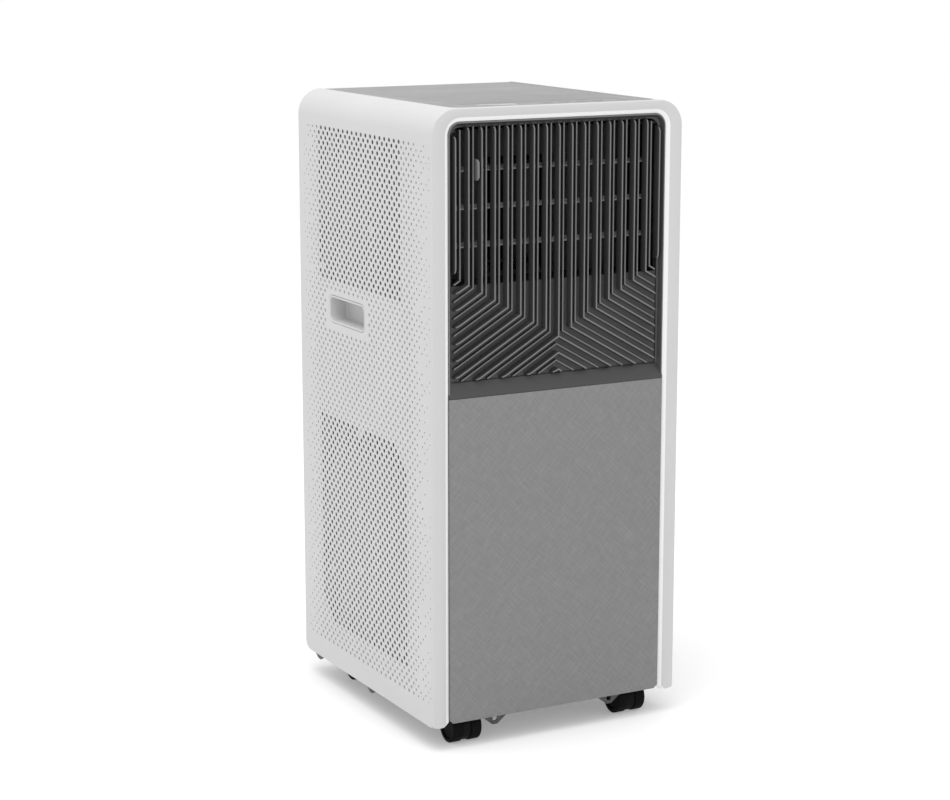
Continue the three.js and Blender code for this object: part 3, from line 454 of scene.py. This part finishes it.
case = {
    "wall": 0.0026, "thinWall": 0.001, "edge": 0.028, "seam": 0.00515, "heel": 0.012,
    "columnPitch": 0.00583, "rowPitch": 0.00562, "columns": 54, "rows": 107,
    "firstColumn": 0.0070, "topRow": 0.0394,
    "hole": 0.00258, "roundness": 0.086, "dimple": 0.0019, "dimpleRim": 0.00025, "blindShare": 0.86,
    "blockedShare": 0.012, "largestHole": 0.00002, "onCrossing": 0.01, "nearCrossing": 0.03,
    # first and last column, first and last row
    "upper": (12, 47, 0, 30), "lower": (10, 47, 59, 102), "lowerCorner": 4,
    "handle": (26, 44, 33, 40), "handleRadius": 0.0093, "handleGap": 0.0002,
    "handleSoft": 0.0016, "handleMargin": 0.3,
}
# how the holes shrink and thin out towards the front and back edges, per column
fade = {"smallest": 0.42, "growth": 0.072, "rearRate": 1.15, "sparseBelow": 0.75, "kept": 0.15}
latticeY = front + case["firstColumn"]
latticeZ = top - case["topRow"]
latticeWide = case["columns"] * case["columnPitch"]
latticeTall = case["rows"] * case["rowPitch"]
# radius of the top cover's front corners
coverCorner = case["firstColumn"] - case["seam"] + 2 * case["columnPitch"]


def holeRadius(column, chance):
    # full size over most of the side
    inside = max(min(column - 1, (case["columns"] - column) * fade["rearRate"]), 0)
    share = min(1.0, fade["smallest"] + inside * fade["growth"])
    if share < fade["sparseBelow"] and chance.random() > share + fade["kept"]:
        return 0.0
    return round(case["hole"] * share, 4)


def isOpen(column, row):
    c0, c1, r0, r1 = case["upper"]
    if c0 <= column <= c1 and r0 <= row <= r1:
        return True
    c0, c1, r0, r1 = case["lower"]
    frontTop = (column - c0) + (row - r0)
    rearBottom = (c1 - column) + (r1 - row)
    within = c0 <= column <= c1 and r0 <= row <= r1
    return within and min(frontTop, rearBottom) >= case["lowerCorner"]


def lattice(place):
    # the lattice column and row of a place on the side, and how far off the crossing it is
    column = (place.y - latticeY) / case["columnPitch"]
    row = (latticeZ - place.z) / case["rowPitch"]
    off = max(abs(column - round(column)), abs(row - round(row)))
    return round(column), round(row), off


def latticeSheet(bm):
    place = Matrix.Translation((
        -halfWidth, latticeY + latticeWide / 2, latticeZ - latticeTall / 2))
    stand = Matrix(((0, 0, -1, 0), (-1, 0, 0, 0), (0, 1, 0, 0), (0, 0, 0, 1)))
    bmesh.ops.create_grid(
        bm, x_segments=case["columns"], y_segments=case["rows"], size=0.5,
        matrix=place @ stand @ Matrix.Diagonal((latticeWide, latticeTall, 1, 1)))
    # the smooth margin round the lattice
    rim = [e for e in bm.edges if e.is_boundary]
    made = bmesh.ops.extrude_edge_only(bm, edges=rim)
    near = case["columnPitch"] / 2
    for vert in newVerts(made):
        y, z = vert.co.y, vert.co.z
        if y < latticeY + near:
            vert.co.y = front + case["seam"]
        elif y > latticeY + latticeWide - near:
            vert.co.y = rear
        if z > latticeZ - near:
            vert.co.z = top - case["edge"]
        elif z < latticeZ - latticeTall + near:
            vert.co.z = bottom


def fillBetween(bm, holes, outer):
    # turns filled outlines into holes of the sheet that the outer edges bound
    loop = [e for f in holes for e in f.edges]
    bmesh.ops.delete(bm, geom=list(holes), context="FACES_ONLY")
    bmesh.ops.triangle_fill(bm, edges=loop + list(outer), use_beauty=True, use_dissolve=False)


def inWindow(place, margin=0.0):
    # whether a place lies in the plain window round the handle
    c0, c1, r0, r1 = case["handle"]
    column = (place.y - latticeY) / case["columnPitch"]
    row = (latticeZ - place.z) / case["rowPitch"]
    return c0 + margin < column < c1 - margin and r0 + margin < row < r1 - margin


def openHandle(bm):
    inside = [f for f in bm.faces if inWindow(f.calc_center_median())]
    bmesh.ops.delete(bm, geom=inside, context="FACES")
    slack = -case["onCrossing"]
    outer = [e for e in bm.edges if e.is_boundary and all(inWindow(v.co, slack) for v in e.verts)]
    cupLow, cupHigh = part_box("handle_cup_left")
    gap = case["handleGap"]
    y0, y1, z0, z1 = cupLow.y - gap, cupHigh.y + gap, cupLow.z - gap, cupHigh.z + gap
    face = plate(bm, [(-halfWidth, y, z) for y, z in ((y0, z0), (y1, z0), (y1, z1), (y0, z1))])
    roundCorners(bm, face.verts[:], case["handleRadius"])
    fillBetween(bm, [f for f in bm.faces if len(f.verts) > 20], outer)


def drillLattice(bm):
    # draws an eight-sided hole round every other crossing, still filled by its own face
    chance = random.Random(7)
    c0, c1, r0, r1 = case["handle"]
    sizes = {}
    for vert in bm.verts:
        column, row, off = lattice(vert.co)
        onField = (0 <= column <= case["columns"] and 0 <= row <= case["rows"]
                   and off < case["onCrossing"])
        byHandle = c0 <= column <= c1 and r0 <= row <= r1
        if onField and not byHandle and (column + row) % 2 == 0:
            radius = holeRadius(column, chance)
            if not isOpen(column, row):
                radius = round(radius * case["blindShare"], 4)
            if radius > 0:
                sizes.setdefault(radius, []).append(vert)
    for radius, group in sizes.items():
        bmesh.ops.bevel(
            bm, geom=group, offset=radius, offset_type="OFFSET", segments=2,
            profile=case["roundness"], affect="VERTICES", material=-1, clamp_overlap=True)
    middles = []
    for vert in bm.verts:
        column, row, off = lattice(vert.co)
        atHole = off < case["onCrossing"] and (column + row) % 2 == 0
        if atHole and len(vert.link_faces) == 4 and all(
                len(f.verts) == 4 and f.calc_area() < case["hole"] ** 2 for f in vert.link_faces):
            middles.append(vert)
    bmesh.ops.dissolve_verts(bm, verts=middles)


def holeFaces(bm):
    # the small faces left in the crossings, with the crossing of each
    found = []
    for face in bm.faces:
        if len(face.verts) == 8 and face.normal.x < -0.9:
            column, row, off = lattice(face.calc_center_median())
            atHole = off < case["nearCrossing"] and (column + row) % 2 == 0
            if atHole and face.calc_area() < case["largestHole"]:
                found.append((face, column, row))
    return found


shoulder = Vector((case["edge"] - halfWidth, 0, top - case["edge"]))  # what it curves round


def roundShoulder(bm):
    # the heel, then the rounded shoulder up to the top cover
    heel = [v for v in bm.verts
            if abs(v.co.y - rear) < looseFit and abs(v.co.z - bottom) < looseFit]
    roundCorners(bm, heel, case["heel"])
    rim = [e for e in bm.edges if e.is_boundary
           and all(abs(v.co.z - shoulder.z) < looseFit for v in e.verts)]
    ends = {v for e in rim for v in e.verts}
    bmesh.ops.spin(
        bm, geom=rim + list(ends), cent=shoulder, axis=(0, 1, 0), angle=math.pi / 2, steps=10)


def cornerFillet(bm):
    # the fillet beside the top cover's front corner
    corner = Vector((shoulder.x, front + case["seam"], top))
    start = bm.verts.new(corner + Vector((0, coverCorner, 0)))
    pivot = corner + Vector((coverCorner, coverCorner, 0))
    bmesh.ops.spin(bm, geom=[start], cent=pivot, axis=(0, 0, 1), angle=math.pi / 2, steps=8)
    arc = [v for v in bm.verts if not v.link_faces]
    arc.sort(key=lambda v: v.co.x)
    edge = [corner, corner + Vector((0, case["firstColumn"] - case["seam"], 0))]
    edge.append(edge[1] + Vector((0, case["columnPitch"], 0)))
    bm.faces.new(arc[::-1] + [bm.verts.new(place) for place in reversed(edge)])
    bmesh.ops.remove_doubles(bm, verts=bm.verts[:], dist=looseFit)


def thicken(bm):
    # gives the sheet its wall, thinner behind the open holes
    faceTowards(bm, Vector((-1, 0, 0)))
    made = bmesh.ops.extrude_face_region(bm, geom=bm.faces[:], use_keep_orig=True)
    for vert in newVerts(made):
        arm = Vector((min(vert.co.x - shoulder.x, 0), 0, max(vert.co.z - shoulder.z, 0)))
        column, row = lattice(vert.co)[:2]
        vert.co -= arm.normalized() * case["thinWall" if isOpen(column, row) else "wall"]
    outward(bm)


def sidePanel(side):
    bm = bmesh.new()
    latticeSheet(bm)
    openHandle(bm)
    drillLattice(bm)
    blocked = random.Random(11)
    through = [f for f, c, r in holeFaces(bm)
               if isOpen(c, r) and blocked.random() > case["blockedShare"]]
    bmesh.ops.delete(bm, geom=through, context="FACES_ONLY")
    roundShoulder(bm)
    cornerFillet(bm)
    thicken(bm)

    dimples = [f for f, c, r in holeFaces(bm)]
    bmesh.ops.inset_individual(
        bm, faces=dimples, thickness=case["dimpleRim"], depth=-case["dimple"])
    lip = [e for e in bm.edges if len(e.link_faces) == 2 and e.calc_face_angle(0) > 1
           and handleLip(e)]
    soften(bm, lip, case["handleSoft"], 3)
    if side > 0:
        bmesh.ops.scale(bm, vec=(-1, 1, 1), verts=bm.verts[:])
        bmesh.ops.reverse_faces(bm, faces=bm.faces[:])
    hand = "left" if side < 0 else "right"
    node = f"side_panel_{hand}"
    return finishPiece(node + "_shape", bm, "chassis", "case_white", [node])


def handleLip(edge):
    # whether an edge runs round the handle's opening on the outer face
    return all(inWindow(v.co, case["handleMargin"]) and abs(v.co.x + halfWidth) <= looseFit
               for v in edge.verts)


for side in (-1, 1):
    piece = sidePanel(side)
    print(piece.name, sum(len(p.vertices) - 2 for p in piece.data.polygons), "triangles")


cup = {"radius": 0.009, "foot": 0.0045, "lip": 0.0009, "wall": 0.0022}


def handleCup(side):
    hand = "left" if side < 0 else "right"
    low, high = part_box(f"handle_cup_{hand}")
    mouth, floor = (low.x, high.x) if side < 0 else (high.x, low.x)
    bm = bmesh.new()
    face = plate(bm, [(mouth, low.y, low.z), (mouth, high.y, low.z),
                      (mouth, high.y, high.z), (mouth, low.y, high.z)])
    roundCorners(bm, face.verts[:], cup["radius"], 8)
    back = push(bm, bm.faces[:], (floor - mouth, 0, 0))
    opening = [f for f in bm.faces if all(abs(v.co.x - mouth) < closeFit for v in f.verts)]
    bmesh.ops.delete(bm, geom=opening, context="FACES_ONLY")
    soften(bm, {e for f in back for e in f.edges}, cup["foot"], 5)
    outward(bm)
    bmesh.ops.solidify(bm, geom=bm.faces[:], thickness=cup["wall"])
    outward(bm)
    lip = [e for e in sharpEdges(bm, 60)
           if all(abs(v.co.x - mouth) < looseFit for v in e.verts)]
    soften(bm, lip, cup["lip"], 3)
    node = f"handle_cup_{hand}"
    finishPiece(node + "_shape", bm, "chassis", "case_white", [node])


for side in (-1, 1):
    handleCup(side)
print("case sides done")

# ---- front surround, top and lower panel

bezel = {
    "sideLeg": 0.0197, "topLeg": 0.014, "outer": 0.028, "inner": 0.014, "depth": 0.0051,
    "footRound": 0.004, "footSplay": 0.0045, "outerSoft": 0.0045, "innerSoft": 0.0016,
    "lip": 0.0044, "lipDepth": 0.0026, "arcSteps": 12, "foldFrom": 20, "rimFrom": 60,
}


def footPoints(halfX, low, y, turnIn=0.0, splay=0.0, steps=4):
    # the left foot of an arch, rounded inwards or splayed outwards on its way down
    points = []
    for step in range(steps + 1):
        share = step / steps
        if turnIn:
            angle = math.pi / 2 * share
            across, up = turnIn * (1 - math.sin(angle)), turnIn * (1 - math.cos(angle))
        else:
            across, up = -splay * (1 - share), splay * share
        points.append(Vector((across - halfX, y, low + up)))
    return points


def archPoints(halfX, low, high, radius, y, steps, foot=()):
    # an open arch, from the left foot over the top to the right foot
    foot = foot or [Vector((-halfX, y, low))]
    points = list(foot)
    for side in (-1, 1):
        for step in range(steps + 1):
            angle = math.pi / 2 * step / steps
            across, up = (math.cos(angle), math.sin(angle)) if side < 0 else (
                math.sin(angle), math.cos(angle))
            points.append(Vector((
                side * (halfX - radius) + side * radius * across, y, high - radius + radius * up)))
    return points + [Vector((-p.x, p.y, p.z)) for p in reversed(foot)]


def chain(bm, points):
    verts = [bm.verts.new(p) for p in points]
    return [bm.edges.new(pair) for pair in zip(verts, verts[1:])]


def frontBezel():
    bm = bmesh.new()
    openX = halfWidth - bezel["sideLeg"]
    openTop = top - bezel["topLeg"]
    lipAt, lipY = bezel["lip"], front + bezel["lipDepth"]
    outer = chain(bm, archPoints(
        halfWidth, bottom, top, bezel["outer"], front, bezel["arcSteps"],
        footPoints(halfWidth, bottom, front, turnIn=bezel["footRound"])))
    middle = chain(bm, archPoints(
        openX + lipAt, bottom, openTop + lipAt, bezel["inner"] + lipAt, front, bezel["arcSteps"],
        footPoints(openX + lipAt, bottom, front, splay=bezel["footSplay"])))
    inner = chain(bm, archPoints(
        openX, bottom, openTop, bezel["inner"], lipY, bezel["arcSteps"],
        footPoints(openX, bottom, lipY, splay=bezel["footSplay"])))
    bmesh.ops.bridge_loops(bm, edges=outer + middle)
    # the slope round the opening takes the lighter white, a painted highlight
    band = bmesh.ops.bridge_loops(bm, edges=middle + inner)["faces"]
    for face in band:
        face.material_index = 1
    faceTowards(bm, Vector((0, -1, 0)))
    for vert in newVerts(bmesh.ops.extrude_face_region(bm, geom=bm.faces[:])):
        vert.co.y = front + bezel["depth"]
    outward(bm)
    level = [e for e in bm.edges if all(abs(v.co.y - front) < closeFit for v in e.verts)
             and not all(abs(v.co.z - bottom) < closeFit for v in e.verts)]
    bend = {e: math.degrees(e.calc_face_angle(0)) for e in level}
    fold = [e for e in level if bezel["foldFrom"] < bend[e] < bezel["rimFrom"]]
    soften(bm, [e for e in level if bend[e] > bezel["rimFrom"]], bezel["outerSoft"], 5)
    soften(bm, [e for e in fold if e.is_valid], bezel["innerSoft"], 4)
    bmesh.ops.dissolve_degenerate(bm, dist=closeFit, edges=bm.edges[:])
    for face in bm.faces:  # only the slope round the opening keeps the lighter white, a painted highlight
        if face.normal.y > -0.2:
            face.material_index = 0
    finishPiece("front_bezel_shape", bm, "chassis", "case_white", ["front_bezel"],
                ("case_white", "painted_highlight_white"))


frontBezel()

cover = {"gap": 0.0003, "gapCorner": 0.006, "sheet": 0.0025, "soft": 0.0005}


def topCover():
    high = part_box("top_cover")[1]
    bm = bmesh.new()
    x = high.x
    y0 = front + case["seam"]
    face = plate(bm, [(-x, y0, high.z), (x, y0, high.z), (x, high.y, high.z), (-x, high.y, high.z)])
    fore = [v for v in face.verts if v.co.y < 0]
    roundCorners(bm, fore, coverCorner, 8)
    panelLow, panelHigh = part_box("control_panel")
    gap = cover["gap"]
    hole = plate(bm, [(panelLow.x - gap, panelLow.y - gap, high.z),
                      (panelHigh.x + gap, panelLow.y - gap, high.z),
                      (panelHigh.x + gap, panelHigh.y + gap, high.z),
                      (panelLow.x - gap, panelHigh.y + gap, high.z)])
    roundCorners(bm, hole.verts[:], cover["gapCorner"], 5)
    outerFace = max(bm.faces, key=lambda f: f.calc_area())
    innerFace = min(bm.faces, key=lambda f: f.calc_area())
    fillBetween(bm, [outerFace, innerFace], [])
    faceTowards(bm, Vector((0, 0, 1)))
    bmesh.ops.solidify(bm, geom=bm.faces[:], thickness=cover["sheet"])
    soften(bm, sharpEdges(bm, 60), cover["soft"], 2)
    finishPiece("top_cover_shape", bm, "chassis", "top_grey", ["top_cover"])


topCover()

lowerSheet = {
    "toe": 0.0045, "soft": 0.0009,
    "ribs": (-0.08, 0.0, 0.08), "ribHalf": 0.001, "ribFace": 0.0015, "ribFoot": 0.02, "ribHead": 0.09,
}


def lowerPanel():
    low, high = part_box("front_lower_panel")
    bm = bmesh.new()
    face = low.y
    toe = lowerSheet["toe"]
    outline = [(low.x + toe, low.z), (high.x - toe, low.z), (high.x, low.z + toe),
               (high.x, high.z), (low.x, high.z), (low.x, low.z + toe)]
    sheet = plate(bm, [(x, face, z) for x, z in outline])
    push(bm, [sheet], (0, case["wall"], 0))
    outward(bm)
    rim = [e for e in bm.edges if all(abs(v.co.y - face) < closeFit for v in e.verts)]
    soften(bm, rim, lowerSheet["soft"], 3)
    half = lowerSheet["ribHalf"]
    for at in lowerSheet["ribs"]:
        block(bm, (at - half, face + lowerSheet["ribFace"], low.z + lowerSheet["ribFoot"]),
              (at + half, high.y, high.z - lowerSheet["ribHead"]))
    finishPiece("front_lower_panel_shape", bm, "chassis", "panel_weave", ["front_lower_panel"])


lowerPanel()
print("front and top done")

# ---- ribbed grille

grille = {
    "pitch": 0.01562, "ribs": 8, "half": 0.001, "back": 0.0102, "tall": 0.0003, "low": 0.0056,
    "face": 0.0065, "apex": 0.4194, "sill": 0.3795, "reach": 0.1248, "topEnd": 0.6485,
    "slope": math.tan(math.pi / 6), "outermostLow": 0.4945, "soft": 0.0008, "edgeSteps": 5,
    # the outer bars start lower, beside the round corners
    "cornerFrom": 0.113, "cornerDrop": 0.75,
    "stub": 0.004, "chevrons": 5, "chevronClear": 0.003,
}


def ribBar(bm, start, bend, end, proud):
    # one bar: from start to the bend and on to the end, rolled back at both of its ends
    first = bend - start
    second = end - bend
    length = first.length + second.length
    fore, aft = front + proud, front + grille["back"]
    roll = grille["face"] - proud
    own = bmesh.new()
    face = plate(own, [(-grille["half"], fore, 0), (-grille["half"], aft, 0),
                       (-grille["half"], aft, -length), (-grille["half"], fore, -length)])
    roundCorners(
        own, [v for v in face.verts if v.co.y < fore + closeFit], roll, grille["edgeSteps"])
    push(own, own.faces[:], (2 * grille["half"], 0, 0))
    outward(own)
    rim = [e for e in sharpEdges(own, 60) if min(v.co.y for v in e.verts) < aft - looseFit
           and abs(e.verts[0].co.x - e.verts[1].co.x) < closeFit]
    soften(own, rim, grille["soft"], 2)
    down = Vector((0, 0, -1))
    turnFirst = signedTurn(down, first)
    turnSecond = signedTurn(first, second)
    if second.length > closeFit:
        middle = Vector((0, 0, -first.length))
        normal = (down + Matrix.Rotation(turnSecond, 3, "Y") @ down).normalized()
        bmesh.ops.bisect_plane(
            own, geom=own.verts[:] + own.edges[:] + own.faces[:], plane_co=middle, plane_no=normal,
            dist=closeFit)
        past = [v for v in own.verts if (v.co - middle).dot(normal) > looseFit]
        bmesh.ops.rotate(own, cent=middle, matrix=Matrix.Rotation(turnSecond, 3, "Y"), verts=past)
    bmesh.ops.rotate(
        own, cent=(0, 0, 0), matrix=Matrix.Rotation(turnFirst, 3, "Y"), verts=own.verts[:])
    bmesh.ops.translate(own, vec=start, verts=own.verts[:])
    spare = bpy.data.meshes.new("rib")  # carries the bar over to the others
    own.to_mesh(spare)
    own.free()
    bm.from_mesh(spare)
    bpy.data.meshes.remove(spare)


def signedTurn(before, after):
    # the turn about Y that carries one direction in the XZ plane onto another
    if before.length < closeFit or after.length < closeFit:
        return 0.0
    cross = before.z * after.x - before.x * after.z
    return math.atan2(cross, before.x * after.x + before.z * after.z)


def slantEnd(x, z, side):
    # where a slanted stretch from (x, z) stops: at the side or at the sill
    reach = grille["reach"] - abs(x)
    drop = reach * grille["slope"]
    if z - drop < bottom + grille["sill"]:
        drop = z - bottom - grille["sill"]
        reach = drop / grille["slope"]
    return Vector((x + side * reach, 0, z - drop))


def grilleBars():
    bm = bmesh.new()
    highest = bottom + grille["topEnd"]
    # upright bars that splay outwards below
    for half in range(-2 * grille["ribs"], 2 * grille["ribs"] + 1):
        x = half * grille["pitch"] / 2
        proud = grille["tall"] if half % 2 == 0 else grille["low"]
        side = -1 if half < 0 else 1
        bend = Vector((x, 0, bottom + grille["apex"] + abs(x) * grille["slope"]))
        start = Vector((
            x, 0, highest - max(abs(x) - grille["cornerFrom"], 0) * grille["cornerDrop"]))
        if abs(half) == 2 * grille["ribs"]:
            end = Vector((x, 0, bottom + grille["outermostLow"]))
            ribBar(bm, start, end, end, proud)
        elif half == 0:
            ribBar(bm, start, bend, bend - Vector((0, 0, grille["stub"])), proud)
        else:
            ribBar(bm, start, bend, slantEnd(x, bend.z, side), proud)
    # nested chevrons under the middle bar
    step = grille["pitch"] / 2 / math.cos(math.pi / 6)
    for half in range(grille["chevrons"]):
        tip = Vector((0, 0, bottom + grille["apex"] - half * step))
        proud = grille["tall"] if half % 2 == 0 else grille["low"]
        if tip.z >= bottom + grille["sill"] + grille["chevronClear"]:
            ribBar(bm, slantEnd(0, tip.z, -1), tip, slantEnd(0, tip.z, 1), proud)
    for face in bm.faces:  # the bars' front faces, painted lighter as a painted highlight
        if face.normal.y < -0.5:
            face.material_index = 1
    finishPiece("front_grille_bars", bm, "chassis", "grille_charcoal", ["front_grille"],
                ("grille_charcoal", "grille_painted_highlight"))


surround = {
    "radius": 0.0136, "steps": 8, "outerAt": 0.0022,
    # how far in each line of the moulding lies, and how far back from the front
    "level": 0.0015, "levelAt": 0.0016, "lowered": 0.0042, "border": 0.006, "innerAt": 0.0075,
    "back": 0.0108, "plateInset": 0.003, "plateFoot": 0.002, "plateFrom": 0.009, "plateTop": 0.509,
}


def grilleSurround():
    # the moulded frame round the bars and the dark plate behind the chevrons
    low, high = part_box("front_grille")
    x, z0, z1, radius = high.x, low.z, high.z, surround["radius"]
    bm = bmesh.new()

    def moulding(inset, back, turn):
        return chain(bm, archPoints(
            x - inset, z0, z1 - inset, turn, front + back, surround["steps"]))

    level, lowered, border = surround["level"], surround["lowered"], surround["border"]
    lines = [
        moulding(0, surround["outerAt"], radius),
        moulding(level, surround["levelAt"], radius - level),
        moulding(lowered, grille["face"], radius - lowered),
        moulding(border, surround["innerAt"], radius - border / 2),
    ]
    # the outermost band of the moulding is painted lighter: a painted highlight on the frame's rim
    for number, (outer, inner) in enumerate(zip(lines, lines[1:])):
        for face in bmesh.ops.bridge_loops(bm, edges=outer + inner)["faces"]:
            face.material_index = 1 if number == 0 else 0
    faceTowards(bm, Vector((0, -1, 0)))
    for vert in newVerts(bmesh.ops.extrude_face_region(bm, geom=bm.faces[:])):
        vert.co.y = front + surround["back"]
    half = x - surround["plateInset"]
    block(bm, (-half, front + surround["plateFrom"], z0 + surround["plateFoot"]),
          (half, front + surround["back"], surround["plateTop"]))
    outward(bm)
    finishPiece("front_grille_frame", bm, "chassis", "grille_charcoal", [],
                ("grille_charcoal", "grille_painted_highlight"))


sill = {"lip": 0.0009, "lipTall": 0.0022, "tall": 0.0165, "back": 0.0105, "soft": 0.0004}


def grilleSill():
    low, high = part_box("front_grille")
    x, z0 = high.x, low.z
    bm = bmesh.new()
    profile = [(sill["lip"], 0), (sill["lip"], sill["lipTall"]), (grille["face"], sill["tall"]),
               (sill["back"], sill["tall"]), (sill["back"], 0)]
    face = plate(bm, [(-x, front + back, z0 + up) for back, up in profile])
    push(bm, [face], (2 * x, 0, 0))
    outward(bm)
    soften(bm, sharpEdges(bm, 20), sill["soft"], 2)
    finishPiece("front_grille_sill", bm, "chassis", "grille_charcoal")


grilleBars()
grilleSurround()
grilleSill()
print("grille done")

# ---- the rest keeps the frame's own shapes, softened at the edges

softened = [
    # node, finish, rounding, body
    ("control_panel", "top_grey", 0.0004, "chassis"),
    ("display_window", "display_black", 0.0003, "chassis"),
    ("rear_cover", "case_white", 0.0005, "chassis"),
    ("exhaust_collar", "grille_charcoal", 0.0006, "chassis"),
    ("cord_inlet", "black_plastic", 0.0006, "chassis"),
    ("drain_plug_upper", "black_plastic", 0.0004, "drain_plug_upper"),
    ("drain_plug_lower", "black_plastic", 0.0004, "drain_plug_lower"),
    ("base_pan", "black_plastic", 0.0006, "chassis"),
    ("middle_strap", "strap_steel", 0.0003, "chassis"),
    ("rear_strap", "strap_steel", 0.0003, "chassis"),
]
for node, finish, size, body in softened:
    softenedNode(node, finish, size, body)
softenedNode("louvre_lever", "lever_grey", 0.0005, "louvre_blade_1", slotName="grille_charcoal")
for number in (1, 2, 3, 4):
    softenedNode(f"button_{number}", "top_grey", 0.0006, f"button_{number}", segments=3)
print("softened shapes done")

strap = {
    "tabPlace": 0.0732, "shoulderReach": 0.01, "shoulder": 0.0109, "tip": 0.0005,
    "tipLift": 0.0021, "soft": 0.0003,
}


def frontStrap():
    # the tabs' sides slope all the way from the panel's edge to the tip
    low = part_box("front_strap")[0]
    bm = mergedCopy("front_strap")
    for vert in bm.verts:
        outside = abs(abs(vert.co.x) - strap["tabPlace"]) > strap["shoulderReach"]
        if vert.co.z < low.z + strap["tip"]:
            vert.co.z += strap["tipLift"]
        elif outside and vert.co.z < low.z + strap["shoulder"]:
            vert.co.z = low.z + strap["shoulder"]
    soften(bm, sharpEdges(bm), strap["soft"], 2)
    finishPiece("front_strap_shape", bm, "chassis", "strap_steel", ["front_strap"])


frontStrap()
print("front strap done")

caster = {
    "web": 0.0042, "webRadius": 0.0163, "axle": 0.0025, "axleReach": 0.0045,
    "wheelFrom": 0.0046, "rim": 0.0042, "hubSlope": 0.0008, "hubDepth": 0.0016,
    "tread": 0.0014, "onSurface": 0.0001, "forkSoft": 0.0006,
}


def casterWheels(wheels):
    # two wheels with dished outer faces, either side of the fork's web
    low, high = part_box(wheels)
    middle, reach, radius = (low + high) / 2, (high.x - low.x) / 2, (high.z - low.z) / 2
    bm = bmesh.new()
    for side in (-1, 1):
        ends = sorted((middle.x + side * caster["wheelFrom"], middle.x + side * reach))
        drum(bm, middle, radius, *ends, 48)
    dish = [f for f in bm.faces
            if abs(f.calc_center_median().x - middle.x) > reach - caster["onSurface"]]
    bmesh.ops.inset_individual(bm, faces=dish, thickness=caster["rim"], depth=0)
    bmesh.ops.inset_individual(
        bm, faces=dish, thickness=caster["hubSlope"], depth=-caster["hubDepth"])
    tread = [e for e in sharpEdges(bm, 60) if all(
        (v.co - middle).yz.length > radius - caster["onSurface"] for v in e.verts)]
    soften(bm, tread, caster["tread"], 4)
    finishPiece(wheels + "_shape", bm, wheels, "caster_tread", [wheels])


def casterFork(fork, wheels):
    # the fork and its hood, with a web and an axle between the wheels
    low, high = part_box(wheels)
    middle = (low + high) / 2
    bm = mergedCopy(fork)
    soften(bm, sharpEdges(bm), caster["forkSoft"], 2)
    web, axle = caster["web"], caster["axleReach"]
    drum(bm, middle, caster["webRadius"], middle.x - web, middle.x + web, 40)
    drum(bm, middle, caster["axle"], middle.x - axle, middle.x + axle, 16)
    finishPiece(fork + "_shape", bm, fork, "black_plastic", [fork], ("caster_hood",))


for corner in ("front_left", "front_right", "rear_left", "rear_right"):
    fork, wheels = f"caster_{corner}_fork", f"caster_{corner}_wheels"
    casterWheels(wheels)
    casterFork(fork, wheels)
print("casters done")

repainted = {
    # the louvre blades take the lightened grey, painted light against their shade
    "outlet_duct": "black_plastic", "louvre_blade_1": "blade_painted_light_grey",
    "louvre_blade_2": "blade_painted_light_grey", "louvre_blade_3": "blade_painted_light_grey",
    "louvre_link": "grille_charcoal", "control_board": "circuit_board",
    "middle_tray": "inner_grey", "evaporator_scroll": "inner_grey", "condenser_scroll": "inner_grey",
    "evaporator_coil": "coil_fins", "condenser_coil": "coil_fins",
    "evaporator_fan": "black_plastic", "condenser_fan": "black_plastic",
    "evaporator_motor": "strap_steel", "condenser_motor": "strap_steel",
    "compressor": "compressor_black", "discharge_pipe": "copper_pipe", "suction_pipe": "copper_pipe",
    "splash_wheel": "black_plastic", "splash_motor": "strap_steel", "control_box": "strap_steel",
    "main_board": "circuit_board", "capacitor": "coil_fins",
    "filter_left": "filter_mesh", "filter_right": "filter_mesh",
    "rear_screw_1": "strap_steel", "rear_screw_2": "strap_steel",
}
for node, finish in repainted.items():
    repaint(node, finish)
print("inner parts painted")
